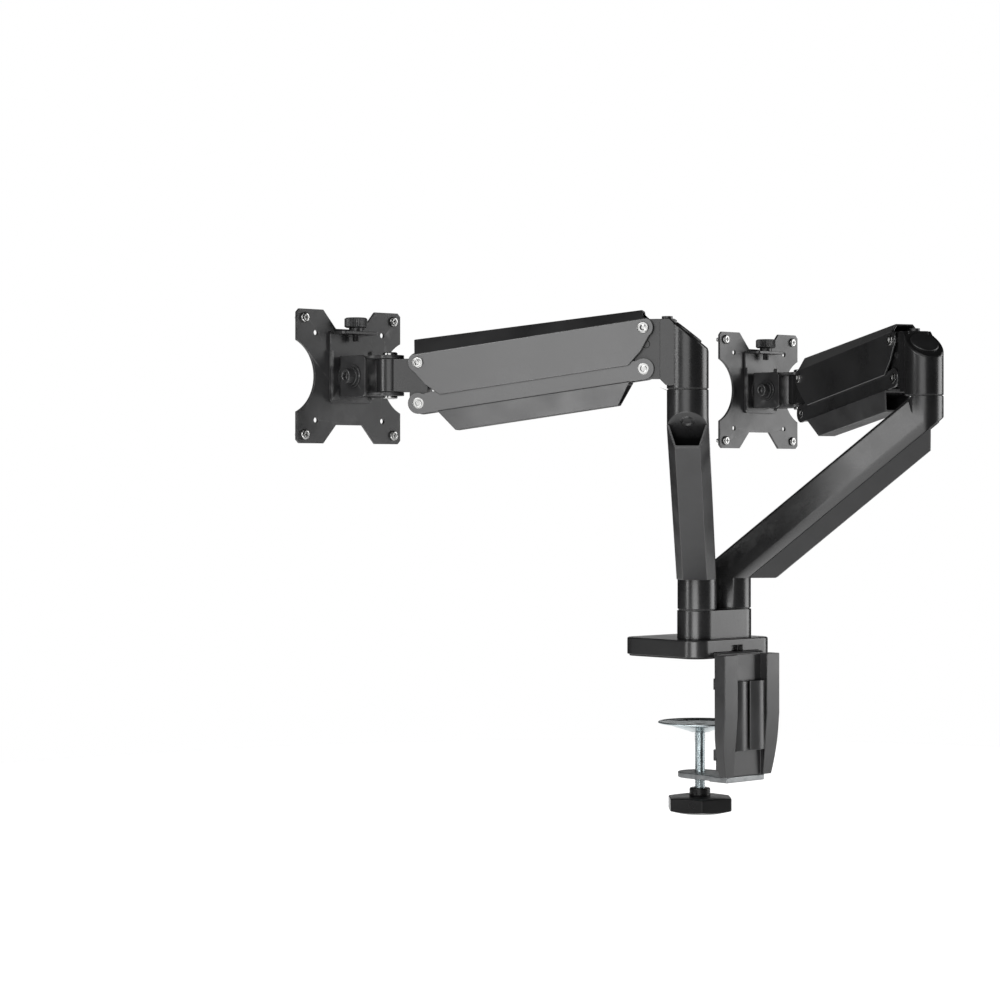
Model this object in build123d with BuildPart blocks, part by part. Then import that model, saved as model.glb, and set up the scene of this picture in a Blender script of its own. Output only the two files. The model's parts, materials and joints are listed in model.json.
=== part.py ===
from build123d import *
from math import atan2, cos, degrees, radians, sin, tan
import os

# Desk-clamped stand with two gas-spring monitor arms.
# Millimetres.  +Z is up and Z = 0 is the desk top.  The origin lies midway
# between the two posts, +Y points to the back edge of the desk and -Y to the
# screens.  The "right" arm stands on the +X post, the "left" arm on the -X post.

os.makedirs("parts", exist_ok=True)

# ---------------------------------------------------------------- driving sizes
POST_SPACING = 46.3
POST_D = 35.0
PIN_CLEAR = 0.05

BASE_HALF_X = 52.5
BASE_FRONT_Y = -68.0
BASE_BACK_Y = 26.6
BASE_TOP_Z = 16.8
BASE_CORNER_R = 16.0
PAD_T = 1.5
BLOCK_TOP_Z = 42.6
WASHER_T = 0.8

BRACKET_T = 4.0
BRACKET_HALF_X = 30.0
BRACKET_BACK_Y = 33.0
BRACKET_BOTTOM_Z = -100.0
JAW_TOP_Z = -105.5
JAW_T = 5.0
SCREW_Y = -17.8
SCREW_D = 9.6
CLAMP_PAD_TOP_Z = -60.0
KNOB_TOP_Z = -120.0

REACH = 173.2                      # post axis to elbow axis, on plan
BEAM_RISE = 144.4                  # climb of the beam's middle line over that reach
BEAM_Z_AT_POST = 68.2
BEAM_TOP = 23.9                    # across the beam, from its middle line
BEAM_SEAM = -8.8
BEAM_BOTTOM = -24.2
BEAM_FLAT_HALF = 10.5
ELBOW_SEAM_Z = 235.1
BEAM_ANGLE = degrees(atan2(BEAM_RISE, REACH))

KNUCKLE_TOP_FRONT_Z = 294.0
KNUCKLE_TOP_SLOPE = 38.4
PIVOT_OFFSET = 35.9                # elbow axis to the link pivots
PIVOT_Z = 286.7
PIVOT_GAP = 34.4                   # upper pivot to lower pivot
LINK_LENGTH = 193.5
LINK_SLOPE = -8.31
PIVOT_PIN_D = 6.0
BOSS_R = 8.6

CHANNEL_HALF = 15.0
CHANNEL_WALL = 2.0
LINK_HALF = 12.6
LINK_WALL = 2.0
TANG_HALF = 10.0
SPRING_DROP = 14.0                 # gas spring line below the upper pivot line

PAN_OFFSET = 26.9                  # head pivots to pan axis
PAN_HALF_HEIGHT = 14.0
HEAD_Z = 248.3
TILT_OFFSET = 29.1                 # pan axis to tilt axis
PLATE_BACK = 53.6                  # pan axis to the back face of the plate
PLATE_T = 2.5

# foot plate and its bolts
FOOT_T = 4.2
FOOT_BOLT_D = 6.0
BLOCK_BOLTS = [(-POST_SPACING / 2, -13), (POST_SPACING / 2, -13), (0, 11)]
JAW_BOLTS_X = 14.0
JAW_BOLT_D = 6.0
JAW_BOLT_Z = -74.0
SPARE_BOLT_Z = -44.0

# posts
POSTS = [(-POST_SPACING / 2, 0), (POST_SPACING / 2, 0)]
POST_PIN_D = 16.0
POST_PIN_TOP_Z = 78.0

# clamp cover
COVER_BACK_Y = 46.0
COVER_FRONT_Y = BRACKET_BACK_Y + 0.4
COVER_TOP_Z = 3.6
COVER_BOTTOM_Z = -105.0
COVER_HALF_TOP = 36.5
COVER_HALF_BOTTOM = 30.5
GROOVE_HALF = 19.5
GROOVE_DEPTH = 8.0
CLIP_TOP_Z = -20.0
CLIP_BOTTOM_Z = -82.0

# lower arm and its cable cover
ARM_FOOT_Z = BLOCK_TOP_Z + WASHER_T
MOUTH_REACH = REACH + 5.8
COVER_FOOT_Z = 70.8
PIN_HOLE_D = 11.0
BEAM_WALL = 3.5
HOLLOW_START = 40.0
HOLLOW_END = 188.0

# elbow pin
ELBOW_PIN_D = 14.0
ELBOW_PIN_BOTTOM_Z = 212.0

# knuckle
KNUCKLE_FOOT_Z = ELBOW_SEAM_Z + WASHER_T
CHEEK_REACH = 22.0
CHEEK_TOP_Z = 294.0
TENSION_SCREW_R = 3.0
TENSION_SCREW_LENGTH = 22.0
TANG_BOTTOM_Z = 238.5
FORK_GAP_HALF = 6.0
CAP_R = 13.2
CAP_T = 1.6
ELBOW_PIN_TOP_Z = 262.0
SPRING_PIN_D = 6.0

# pivot pins and links
PIN_HEAD_R = 4.8
PIN_HEAD_T = 1.6
LINK_HEAD_T = 0.3
LOWER_PIVOT_X = PIVOT_GAP * sin(radians(-LINK_SLOPE))
LOWER_PIVOT_Y = -PIVOT_GAP * cos(radians(LINK_SLOPE))
LINK_FLOOR_Y = LOWER_PIVOT_Y - 9.0
UNDER_COVER_BOTTOM_Y = LINK_FLOOR_Y - 18.0

# gas spring and rod
SPRING_R = 9.5
SPRING_START = 72.0
SPRING_END = 152.0
SPRING_ANCHOR = 160.0
ROD_R = 4.0
ROD_END = 112.0
ROD_BORE_END = 126.0
EYE_SLOT_HALF = 4.6
EYE_HALF_T = 4.0

# head
BARREL_R = 11.5
BARREL_TOP_Z = HEAD_Z + PAN_HALF_HEIGHT
BARREL_BOTTOM_Z = HEAD_Z - PAN_HALF_HEIGHT
PAN_PIN_R = 4.0
EAR_T = 3.0
EAR_GAP = 0.3
EAR_HALF = 12.0
PAN_WEB_FRONT = 19.0
TILT_BARREL_R = 11.5
TILT_BARREL_HALF = 13.6
TILT_BOLT_R = 4.0
FLANGE_HALF = 16.5
FLANGE_T = 2.5
FLANGE_REAR = 13.4
TILT_WEB_FRONT = 48.5
FLANGE_HALF_HEIGHT = 17.6
ADAPTER_BACK = 51.1
ADAPTER_HALF = 23.5
ADAPTER_TOP_Z = 287.5
THUMB_AT = 45.0
RIVET_R = 6.0

# thumbscrew
THUMB_SHANK_R = 3.0

# screen plate and its screws
PLATE_HALF_X = 58.5
PLATE_HALF_Z = 57.5
VESA_STUD_R = 2.0
VESA_NECK_R = 2.5
VESA_HOLE_R = 2.25

ARMS = [
    # side, side of the posts, heading of the lower arm, heading of the upper arm
    ("right", 1, 40.17, -52.71),
    ("left", -1, 126.83, -113.59),
]


# ---------------------------------------------------------------- frames
class ArmFrame:
    """Axes and work planes of one arm at rest."""

    def __init__(self, side, sign, lower_heading, upper_heading):
        self.side = side
        self.sign = sign
        self.lower_heading = lower_heading
        self.upper_heading = upper_heading
        self.post = Vector(sign * POST_SPACING / 2, 0, 0)
        self.elbow = self.post + heading(lower_heading) * REACH
        self.pivot = self.elbow + heading(upper_heading) * PIVOT_OFFSET + Vector(0, 0, PIVOT_Z)
        run = LINK_LENGTH * cos(radians(LINK_SLOPE))
        drop = LINK_LENGTH * sin(radians(LINK_SLOPE))
        self.head_pivot = self.pivot + heading(upper_heading) * run + Vector(0, 0, drop)
        pan = self.head_pivot + heading(upper_heading) * PAN_OFFSET
        self.pan = Vector(pan.X, pan.Y, 0)

    def lower_plan(self, z=0.0):
        return plan_plane(self.post, self.lower_heading, z)

    def upper_plan(self, z=0.0):
        return plan_plane(self.elbow, self.upper_heading, z)

    def lower_side(self):
        return side_plane(self.post, self.lower_heading)

    def upper_side(self):
        return side_plane(self.elbow, self.upper_heading)

    def link_side(self):
        return side_plane(self.pivot, self.upper_heading, LINK_SLOPE)

    def head_side(self):
        return side_plane(self.pan, self.upper_heading)


def heading(angle):
    return Vector(cos(radians(angle)), sin(radians(angle)), 0)


def plan_plane(point, angle, z=0.0):
    """Level plane at height z, its x axis along the heading."""
    return Plane(origin=(point.X, point.Y, z), x_dir=heading(angle), z_dir=(0, 0, 1))


def side_plane(point, angle, slope=0.0):
    """Upright plane along an arm: x along it, y up, z across it."""
    turn, tip = radians(angle), radians(slope)
    along = Vector(cos(turn) * cos(tip), sin(turn) * cos(tip), sin(tip))
    across = Vector(sin(turn), -cos(turn), 0)
    return Plane(origin=point, x_dir=along, z_dir=across)


def section_plane(side, distance=0.0):
    """Plane square to a side plane's x axis: x across, y up, z along the arm."""
    origin = side.origin + side.x_dir * distance
    return Plane(origin=origin, x_dir=-side.z_dir, z_dir=side.x_dir)


def outline(*points, mode=Mode.ADD):
    """Straight-sided face in the current sketch, at its own coordinates."""
    Polygon(*points, align=None, mode=mode)


def save(name, part):
    part.label = name
    export_step(part, f"parts/{name}.step")


# ---------------------------------------------------------------- stand and clamp
def desk_pad():
    with BuildPart() as pad:
        with BuildSketch(Plane.XY):
            base_footprint(2.0)
        extrude(amount=PAD_T)
    return pad.part


def base_footprint(inset):
    width = 2 * (BASE_HALF_X - inset)
    depth = BASE_BACK_Y - BASE_FRONT_Y - 2 * inset
    with Locations((0, (BASE_BACK_Y + BASE_FRONT_Y) / 2)):
        RectangleRounded(width, depth, BASE_CORNER_R - inset)


def base_cover():
    """Moulded shell over the steel foot, open underneath."""
    wall = 3.0
    notch_width, notch_height = 14.7, 5.4
    with BuildPart() as cover:
        with BuildSketch(Plane.XY.offset(PAD_T)):
            base_footprint(0)
        extrude(amount=BASE_TOP_Z - PAD_T)
        top_edges = cover.faces().sort_by(Axis.Z)[-1].edges()
        fillet(top_edges, radius=1.6)
        with BuildSketch(Plane.XY.offset(PAD_T)):
            base_footprint(wall)
        extrude(amount=FOOT_T, mode=Mode.SUBTRACT)
        # way out at the back for the bracket's flange, and the cable notch over it
        with BuildSketch(Plane.XY.offset(PAD_T)):
            with Locations((0, BASE_BACK_Y)):
                Rectangle(2 * BRACKET_HALF_X + 1, 4 * wall)
        extrude(amount=FOOT_T, mode=Mode.SUBTRACT)
        with BuildSketch(Plane.XY.offset(PAD_T)):
            with Locations((-1, BASE_BACK_Y)):
                Rectangle(notch_width, 4 * wall)
        extrude(amount=FOOT_T + notch_height, mode=Mode.SUBTRACT)
        with Locations(*[(x, y, BASE_TOP_Z) for x, y in BLOCK_BOLTS]):
            Hole(FOOT_BOLT_D / 2, depth=BASE_TOP_Z)
    return cover.part


def clamp_bracket():
    """Bent steel bracket: foot plate under the shell, back plate down behind the desk."""
    with BuildPart() as bracket:
        with BuildSketch(Plane.XY.offset(PAD_T)):
            base_footprint(3.3)
        extrude(amount=BRACKET_T)
        with BuildSketch(Plane.XY.offset(PAD_T)):
            with Locations((0, (BASE_BACK_Y - 10 + BRACKET_BACK_Y) / 2)):
                Rectangle(2 * BRACKET_HALF_X, BRACKET_BACK_Y - BASE_BACK_Y + 10)
        extrude(amount=BRACKET_T)
        with BuildSketch(Plane.XZ.offset(-BRACKET_BACK_Y)):
            with Locations((0, (BRACKET_BOTTOM_Z + PAD_T + BRACKET_T) / 2)):
                Rectangle(2 * BRACKET_HALF_X, PAD_T + BRACKET_T - BRACKET_BOTTOM_Z)
        extrude(amount=BRACKET_T)
        bend = bracket.edges().filter_by(Axis.X).sort_by(lambda e: e.center().Z + e.center().Y)[-1]
        fillet(bend, radius=3.5)
        for z in (JAW_BOLT_Z, SPARE_BOLT_Z):
            with Locations(*[Location((x, BRACKET_BACK_Y, z), (90, 0, 0))
                             for x in (-JAW_BOLTS_X, JAW_BOLTS_X)]):
                Hole(JAW_BOLT_D / 2, depth=2 * BRACKET_T)
        with Locations(*[(x, y, PAD_T + BRACKET_T) for x, y in BLOCK_BOLTS]):
            Hole(FOOT_BOLT_D / 2, depth=BRACKET_T)
    return bracket.part


def stand_bolts():
    """Bolts that join bracket, shell and post block, and the two jaw bolts with their nuts."""
    front = BRACKET_BACK_Y - BRACKET_T
    with BuildPart() as bolts:
        for x, y in BLOCK_BOLTS:
            with BuildSketch(Plane.XY.offset(PAD_T)):
                with Locations((x, y)):
                    Circle(FOOT_BOLT_D / 2)
            extrude(amount=BASE_TOP_Z + 10 - PAD_T)
        for x in (-JAW_BOLTS_X, JAW_BOLTS_X):
            with BuildSketch(Plane(origin=(x, front, JAW_BOLT_Z), z_dir=(0, 1, 0))):
                Circle(JAW_BOLT_D / 2)
            extrude(amount=2 * BRACKET_T + 4)
            with BuildSketch(Plane(origin=(x, front, JAW_BOLT_Z), z_dir=(0, -1, 0))):
                Circle(5.5)
            extrude(amount=2.2)
            with BuildSketch(Plane(origin=(x, front + 2 * BRACKET_T, JAW_BOLT_Z), z_dir=(0, 1, 0))):
                RegularPolygon(5.6, 6)
            extrude(amount=3.4)
    return bolts.part


def post_block():
    """Cast block with rounded ends that carries both posts."""
    with BuildPart() as block:
        with BuildSketch(Plane.XY.offset(BASE_TOP_Z)):
            SlotCenterToCenter(POST_SPACING, POST_D + 0.6)
        extrude(amount=BLOCK_TOP_Z - BASE_TOP_Z)
        top_edges = block.faces().sort_by(Axis.Z)[-1].edges()
        chamfer(top_edges, 0.5)
        with Locations(*[(s * POST_SPACING / 2, 0, BLOCK_TOP_Z) for s in (-1, 1)]):
            Hole(POST_PIN_D / 2, depth=BLOCK_TOP_Z - BASE_TOP_Z - 4)
        with Locations(*[(x, y, BASE_TOP_Z) for x, y in BLOCK_BOLTS]):
            Cylinder(FOOT_BOLT_D / 2, 10, mode=Mode.SUBTRACT, align=(Align.CENTER, Align.CENTER, Align.MIN))
    return block.part


def post_pins():
    """Steel posts, pressed in the block and standing in the lower arms."""
    with BuildPart() as pins:
        with BuildSketch(Plane.XY.offset(BASE_TOP_Z + 4)):
            with Locations(*POSTS):
                Circle(POST_PIN_D / 2)
        extrude(amount=POST_PIN_TOP_Z - BASE_TOP_Z - 4)
        chamfer(pins.faces().group_by(Axis.Z)[-1].edges(), 1.0)
    return pins.part


def post_washers():
    """Thin bearing washers under the lower arms."""
    with BuildPart() as washers:
        with BuildSketch(Plane.XY.offset(BLOCK_TOP_Z)):
            with Locations(*POSTS):
                Circle(POST_D / 2 - 1)
                Circle(POST_PIN_D / 2 + 0.1, mode=Mode.SUBTRACT)
        extrude(amount=WASHER_T)
    return washers.part


def clamp_jaw():
    """Bent steel lower jaw: leg behind the bracket, tongue under the desk."""
    leg_half, tongue_half = 25.0, 20.0
    tongue_front = SCREW_Y - tongue_half
    with BuildPart() as jaw:
        with BuildSketch(Plane.XY.offset(JAW_TOP_Z)):
            with Locations((0, (SCREW_Y + BRACKET_BACK_Y) / 2)):
                Rectangle(2 * tongue_half, BRACKET_BACK_Y - SCREW_Y)
            with Locations((0, SCREW_Y)):
                Circle(SCREW_Y - tongue_front)
            with Locations((0, BRACKET_BACK_Y - 6)):
                Rectangle(2 * leg_half, 12 + 2 * JAW_T)
        extrude(amount=-JAW_T)
        with BuildSketch(Plane.XZ.offset(-BRACKET_BACK_Y - BRACKET_T)):
            with Locations((0, (JAW_TOP_Z - JAW_T + JAW_BOLT_Z + 12) / 2)):
                Rectangle(2 * leg_half, JAW_BOLT_Z + 12 - JAW_TOP_Z + JAW_T)
        extrude(amount=BRACKET_T)
        with BuildSketch(Plane.XZ.offset(-BRACKET_BACK_Y - BRACKET_T)):
            with Locations((0, JAW_TOP_Z - 30)):
                Rectangle(400, 60 - 2 * JAW_T)
        with Locations(*[Location((x, BRACKET_BACK_Y + BRACKET_T, JAW_BOLT_Z), (90, 0, 0))
                         for x in (-JAW_BOLTS_X, JAW_BOLTS_X)]):
            Hole(JAW_BOLT_D / 2, depth=2 * BRACKET_T)
        with Locations((0, SCREW_Y, JAW_TOP_Z)):
            Hole(SCREW_D / 2 + PIN_CLEAR, depth=JAW_T)
    return jaw.part


def clamp_cover():
    """Plastic cover behind the bracket: cable groove, sprung fingers and side tabs."""
    taper_z = -62.0
    tab_reach, tab_height = 4.0, 10.0
    finger_t, slit, bulge = 2.0, 1.6, 3.0
    finger_y = COVER_BACK_Y - 3.5
    middle_x = (GROOVE_HALF + slit) / 2
    with BuildPart() as cover:
        with BuildSketch(Plane.XZ.offset(-COVER_BACK_Y)):
            with BuildLine():
                Line((-COVER_HALF_TOP, COVER_TOP_Z), (COVER_HALF_TOP, COVER_TOP_Z))
                Line((COVER_HALF_TOP, COVER_TOP_Z), (COVER_HALF_TOP, taper_z))
                Spline((COVER_HALF_TOP, taper_z), (COVER_HALF_BOTTOM, COVER_BOTTOM_Z),
                       tangents=((0, -1), (-0.28, -1)))
                Line((COVER_HALF_BOTTOM, COVER_BOTTOM_Z), (-COVER_HALF_BOTTOM, COVER_BOTTOM_Z))
                Spline((-COVER_HALF_TOP, taper_z), (-COVER_HALF_BOTTOM, COVER_BOTTOM_Z),
                       tangents=((0, -1), (0.28, -1)))
                Line((-COVER_HALF_TOP, taper_z), (-COVER_HALF_TOP, COVER_TOP_Z))
            make_face()
        extrude(amount=COVER_BACK_Y - COVER_FRONT_Y)
        # the back leans in towards its foot
        with BuildSketch(Plane.YZ.offset(-50)):
            outline((COVER_BACK_Y, -50), (COVER_BACK_Y + 5, -50), (COVER_BACK_Y + 5, COVER_BOTTOM_Z - 5),
                    (COVER_BACK_Y - 5, COVER_BOTTOM_Z - 5))
        extrude(amount=100, mode=Mode.SUBTRACT)
        # cable groove
        with BuildSketch(Plane.XZ.offset(-COVER_BACK_Y - 1)):
            with Locations((0, (COVER_TOP_Z + COVER_BOTTOM_Z) / 2)):
                Rectangle(2 * GROOVE_HALF, 200)
        extrude(amount=GROOVE_DEPTH + 1, mode=Mode.SUBTRACT)
        # pocket for the jaw's leg and the nuts
        with BuildSketch(Plane.XZ.offset(-COVER_FRONT_Y)):
            with Locations((0, (JAW_BOLT_Z + 14 + COVER_BOTTOM_Z - 10) / 2)):
                Rectangle(51.0, JAW_BOLT_Z + 14 - COVER_BOTTOM_Z + 10)
        extrude(amount=-BRACKET_T, mode=Mode.SUBTRACT)
        for x in (-JAW_BOLTS_X, JAW_BOLTS_X):
            with BuildSketch(Plane.XZ.offset(-COVER_FRONT_Y)):
                with Locations((x, JAW_BOLT_Z)):
                    Circle(6.4)
            extrude(amount=-9.0, mode=Mode.SUBTRACT)
        # two curved fingers close the groove, with a slit between them
        for side in (-1, 1):
            with BuildSketch(Plane.XY.offset(CLIP_BOTTOM_Z)):
                with BuildLine():
                    outer = ThreePointArc((side * (GROOVE_HALF + 1), finger_y),
                                          (side * middle_x, finger_y + bulge),
                                          (side * slit, finger_y - 1))
                    Line(outer @ 1, (side * slit, finger_y - 1 - finger_t))
                    inner = ThreePointArc((side * slit, finger_y - 1 - finger_t),
                                          (side * middle_x, finger_y + bulge - finger_t),
                                          (side * (GROOVE_HALF + 1), finger_y - finger_t))
                    Line(inner @ 1, outer @ 0)
                make_face()
            extrude(amount=CLIP_TOP_Z - CLIP_BOTTOM_Z)
        # gripping tabs that reach round the bracket's edges
        for side in (-1, 1):
            for z in (-22, -85):
                with Locations((side * (BRACKET_HALF_X + 2.2), COVER_FRONT_Y - tab_reach / 2, z)):
                    Box(3.4, tab_reach, tab_height)
    return cover.part


def clamp_screw():
    with BuildPart() as screw:
        with BuildSketch(Plane.XY.offset(KNOB_TOP_Z - 14)):
            with Locations((0, SCREW_Y)):
                Circle(SCREW_D / 2)
        extrude(amount=CLAMP_PAD_TOP_Z - 5.0 - KNOB_TOP_Z + 14)
    return screw.part


def clamp_knob():
    """Six-sided hand knob with a round hub."""
    hub_h, body_h, body_r = 7.0, 16.0, 32.0
    body_top = KNOB_TOP_Z - hub_h
    with BuildPart() as knob:
        with BuildSketch(Plane.XY.offset(body_top)) as facets:
            with Locations((0, SCREW_Y)):
                RegularPolygon(body_r, 6, rotation=46.8)
            fillet(facets.vertices(), radius=3.5)
        extrude(amount=-body_h)
        with BuildSketch(Plane.XZ.offset(-SCREW_Y)):
            outline((0, body_top + 4), (12, body_top + 1.2), (34, body_top - 2.4), (34, body_top - 12.6),
                    (20, body_top - body_h), (0, body_top - body_h))
        revolve(axis=Axis((0, SCREW_Y, 0), (0, 0, 1)), mode=Mode.INTERSECT)
        with BuildSketch(Plane.XY.offset(body_top - 2)):
            with Locations((0, SCREW_Y)):
                Circle(9.5)
        extrude(amount=hub_h + 2)
        chamfer(knob.faces().sort_by(Axis.Z)[-1].edges(), 1.0)
        with Locations((0, SCREW_Y, KNOB_TOP_Z)):
            Hole(SCREW_D / 2, depth=14)
    return knob.part


def clamp_pad():
    """Round dished pressure plate that turns on the screw's tip."""
    rim_r, rim_t, cone_r, cone_h = 38.0, 1.8, 29.0, 7.5
    with BuildPart() as pad:
        with BuildSketch(Plane.XZ.offset(-SCREW_Y)):
            outline((0, CLAMP_PAD_TOP_Z), (rim_r, CLAMP_PAD_TOP_Z), (rim_r, CLAMP_PAD_TOP_Z - rim_t),
                    (cone_r, CLAMP_PAD_TOP_Z - rim_t), (cone_r - 4, CLAMP_PAD_TOP_Z - 4),
                    (9.5, CLAMP_PAD_TOP_Z - rim_t - cone_h), (0, CLAMP_PAD_TOP_Z - rim_t - cone_h))
        revolve(axis=Axis((0, SCREW_Y, 0), (0, 0, 1)))
        with BuildSketch(Plane.XY.offset(CLAMP_PAD_TOP_Z - rim_t - cone_h)):
            with Locations((0, SCREW_Y)):
                Circle(SCREW_D / 2 + PIN_CLEAR)
        extrude(amount=rim_t + cone_h - 4.95, mode=Mode.SUBTRACT)
    return pad.part


save("desk_pad", desk_pad())
save("base_cover", base_cover())
save("clamp_bracket", clamp_bracket())
save("stand_bolts", stand_bolts())
save("post_block", post_block())
save("post_pins", post_pins())
save("post_washers", post_washers())
save("clamp_jaw", clamp_jaw())
save("clamp_cover", clamp_cover())
save("clamp_screw", clamp_screw())
save("clamp_knob", clamp_knob())
save("clamp_pad", clamp_pad())


# ---------------------------------------------------------------- lower arm
def beam_height(reach, across_beam):
    """Height of a line that runs along the beam, a distance off its middle line."""
    rise = reach * tan(radians(BEAM_ANGLE))
    return BEAM_Z_AT_POST + rise + across_beam / cos(radians(BEAM_ANGLE))


def beam_reach(height, across_beam):
    """Plan distance from the post at which such a line is at a given height."""
    base = BEAM_Z_AT_POST + across_beam / cos(radians(BEAM_ANGLE))
    return (height - base) / tan(radians(BEAM_ANGLE))


def beam_plane(arm, distance=-60):
    """Plane square to the beam's middle line, a distance up it from the post axis."""
    side = side_plane(arm.post + Vector(0, 0, BEAM_Z_AT_POST), arm.lower_heading, BEAM_ANGLE)
    return section_plane(side, distance)


def lower_arm(arm):
    """Six-sided cast beam that climbs from the post boss to the elbow boss."""
    half = POST_D / 2
    elbow_plan = plan_plane(arm.elbow, arm.lower_heading, ELBOW_SEAM_Z)
    with BuildPart() as beam:
        with BuildSketch(beam_plane(arm)) as section:
            outline((-half, -70), (half, -70), (half, 0), (BEAM_FLAT_HALF, BEAM_TOP),
                    (-BEAM_FLAT_HALF, BEAM_TOP), (-half, 0))
            fillet(section.vertices().group_by(Axis.Y)[-1], radius=3.5)
        extrude(amount=400)
        with BuildSketch(elbow_plan):
            Circle(half)
        extrude(amount=-70)
        with BuildSketch(arm.lower_plan(ARM_FOOT_Z)):
            with Locations((REACH / 2, 0)):
                SlotCenterToCenter(REACH, POST_D)
        extrude(amount=ELBOW_SEAM_Z - ARM_FOOT_Z, mode=Mode.INTERSECT)
        with BuildSketch(arm.lower_side()) as profile:
            outline((-half - 1, ARM_FOOT_Z), (-half - 1, beam_height(-half - 1, BEAM_TOP)),
                    (beam_reach(ELBOW_SEAM_Z, BEAM_TOP), ELBOW_SEAM_Z), (REACH + half + 1, ELBOW_SEAM_Z),
                    (REACH + half + 1, beam_height(REACH + half + 1, BEAM_SEAM)),
                    (half, beam_height(half, BEAM_SEAM)), (half, ARM_FOOT_Z))
            fillet(profile.vertices().group_by(Axis.X)[0].sort_by(Axis.Y)[-1], radius=9)
        extrude(amount=half + 1, both=True, mode=Mode.INTERSECT)
        # round boss under the cable cover
        with BuildSketch(arm.lower_plan(ARM_FOOT_Z)):
            with Locations((half, 0)):
                Rectangle(2 * half, POST_D + 2)
            Circle(half, mode=Mode.SUBTRACT)
        extrude(amount=COVER_FOOT_Z - ARM_FOOT_Z, mode=Mode.SUBTRACT)
        # bores for the post and the elbow pin
        with BuildSketch(arm.lower_plan(ARM_FOOT_Z)):
            Circle(POST_PIN_D / 2 + PIN_CLEAR)
        extrude(amount=POST_PIN_TOP_Z - ARM_FOOT_Z + 1, mode=Mode.SUBTRACT)
        with BuildSketch(elbow_plan):
            Circle(ELBOW_PIN_D / 2 + PIN_CLEAR)
        extrude(amount=-(ELBOW_SEAM_Z - ELBOW_PIN_BOTTOM_Z + 1), mode=Mode.SUBTRACT)
        # hollow of the casting, open underneath, where the cables lie
        with BuildSketch(beam_plane(arm, HOLLOW_START)) as hollow:
            wide, narrow, roof = half - BEAM_WALL, BEAM_FLAT_HALF - BEAM_WALL / 2, BEAM_TOP - BEAM_WALL
            outline((-wide, -70), (wide, -70), (wide, 0), (narrow, roof), (-narrow, roof), (-wide, 0))
            fillet(hollow.vertices().group_by(Axis.Y)[-1], radius=2)
        extrude(amount=HOLLOW_END - HOLLOW_START, mode=Mode.SUBTRACT)
        # clamping-screw hole in the underside of the elbow boss
        under_boss = arm.lower_side().from_local_coords((REACH + 9, beam_height(REACH + 9, BEAM_SEAM), 0))
        with BuildSketch(Plane(origin=under_boss, x_dir=arm_slope(arm), z_dir=arm_under(arm))):
            Circle(PIN_HOLE_D / 2)
            Circle(PIN_HOLE_D / 2 - 1.4, mode=Mode.SUBTRACT)
        extrude(amount=1.0)
    return beam.part


def arm_slope(arm):
    turn, tip = radians(arm.lower_heading), radians(BEAM_ANGLE)
    return Vector(cos(turn) * cos(tip), sin(turn) * cos(tip), sin(tip))


def arm_under(arm):
    turn, tip = radians(arm.lower_heading), radians(BEAM_ANGLE)
    return Vector(cos(turn) * sin(tip), sin(turn) * sin(tip), -cos(tip))


def arm_cable_cover(arm):
    """Snap-on channel under the beam; its upper mouth is open for the cables."""
    half = POST_D / 2
    wall = 2.0
    seam = BEAM_SEAM - 0.05
    with BuildPart() as cover:
        with BuildSketch(beam_plane(arm)):
            outline((-half, seam), (half, seam), (BEAM_FLAT_HALF, BEAM_BOTTOM),
                    (-BEAM_FLAT_HALF, BEAM_BOTTOM))
            outline((-half + wall, seam + 1), (half - wall, seam + 1),
                    (BEAM_FLAT_HALF - wall / 2, BEAM_BOTTOM + wall),
                    (-BEAM_FLAT_HALF + wall / 2, BEAM_BOTTOM + wall), mode=Mode.SUBTRACT)
        extrude(amount=400)
        with BuildSketch(arm.lower_side()):
            outline((half + 0.3, COVER_FOOT_Z), (half + 0.3, beam_height(half + 0.3, seam)),
                    (MOUTH_REACH, beam_height(MOUTH_REACH, seam)),
                    (MOUTH_REACH, beam_height(MOUTH_REACH, BEAM_BOTTOM) - 1),
                    (beam_reach(COVER_FOOT_Z, BEAM_BOTTOM), COVER_FOOT_Z))
        extrude(amount=half + 1, both=True, mode=Mode.INTERSECT)
    return cover.part


# ---------------------------------------------------------------- elbow


def knuckle_top_height(along):
    return KNUCKLE_TOP_FRONT_Z - (14.0 - along) * tan(radians(KNUCKLE_TOP_SLOPE))


def knuckle_cap_plane(arm):
    """Plane on the slanted top, square to it."""
    turn, tip = radians(arm.upper_heading), radians(KNUCKLE_TOP_SLOPE)
    side = arm.upper_side()
    origin = side.from_local_coords((-0.5, knuckle_top_height(-0.5), 0))
    uphill = Vector(cos(turn) * cos(tip), sin(turn) * cos(tip), sin(tip))
    return Plane(origin=origin, x_dir=uphill, z_dir=uphill.cross(side.z_dir) * -1)


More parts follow.
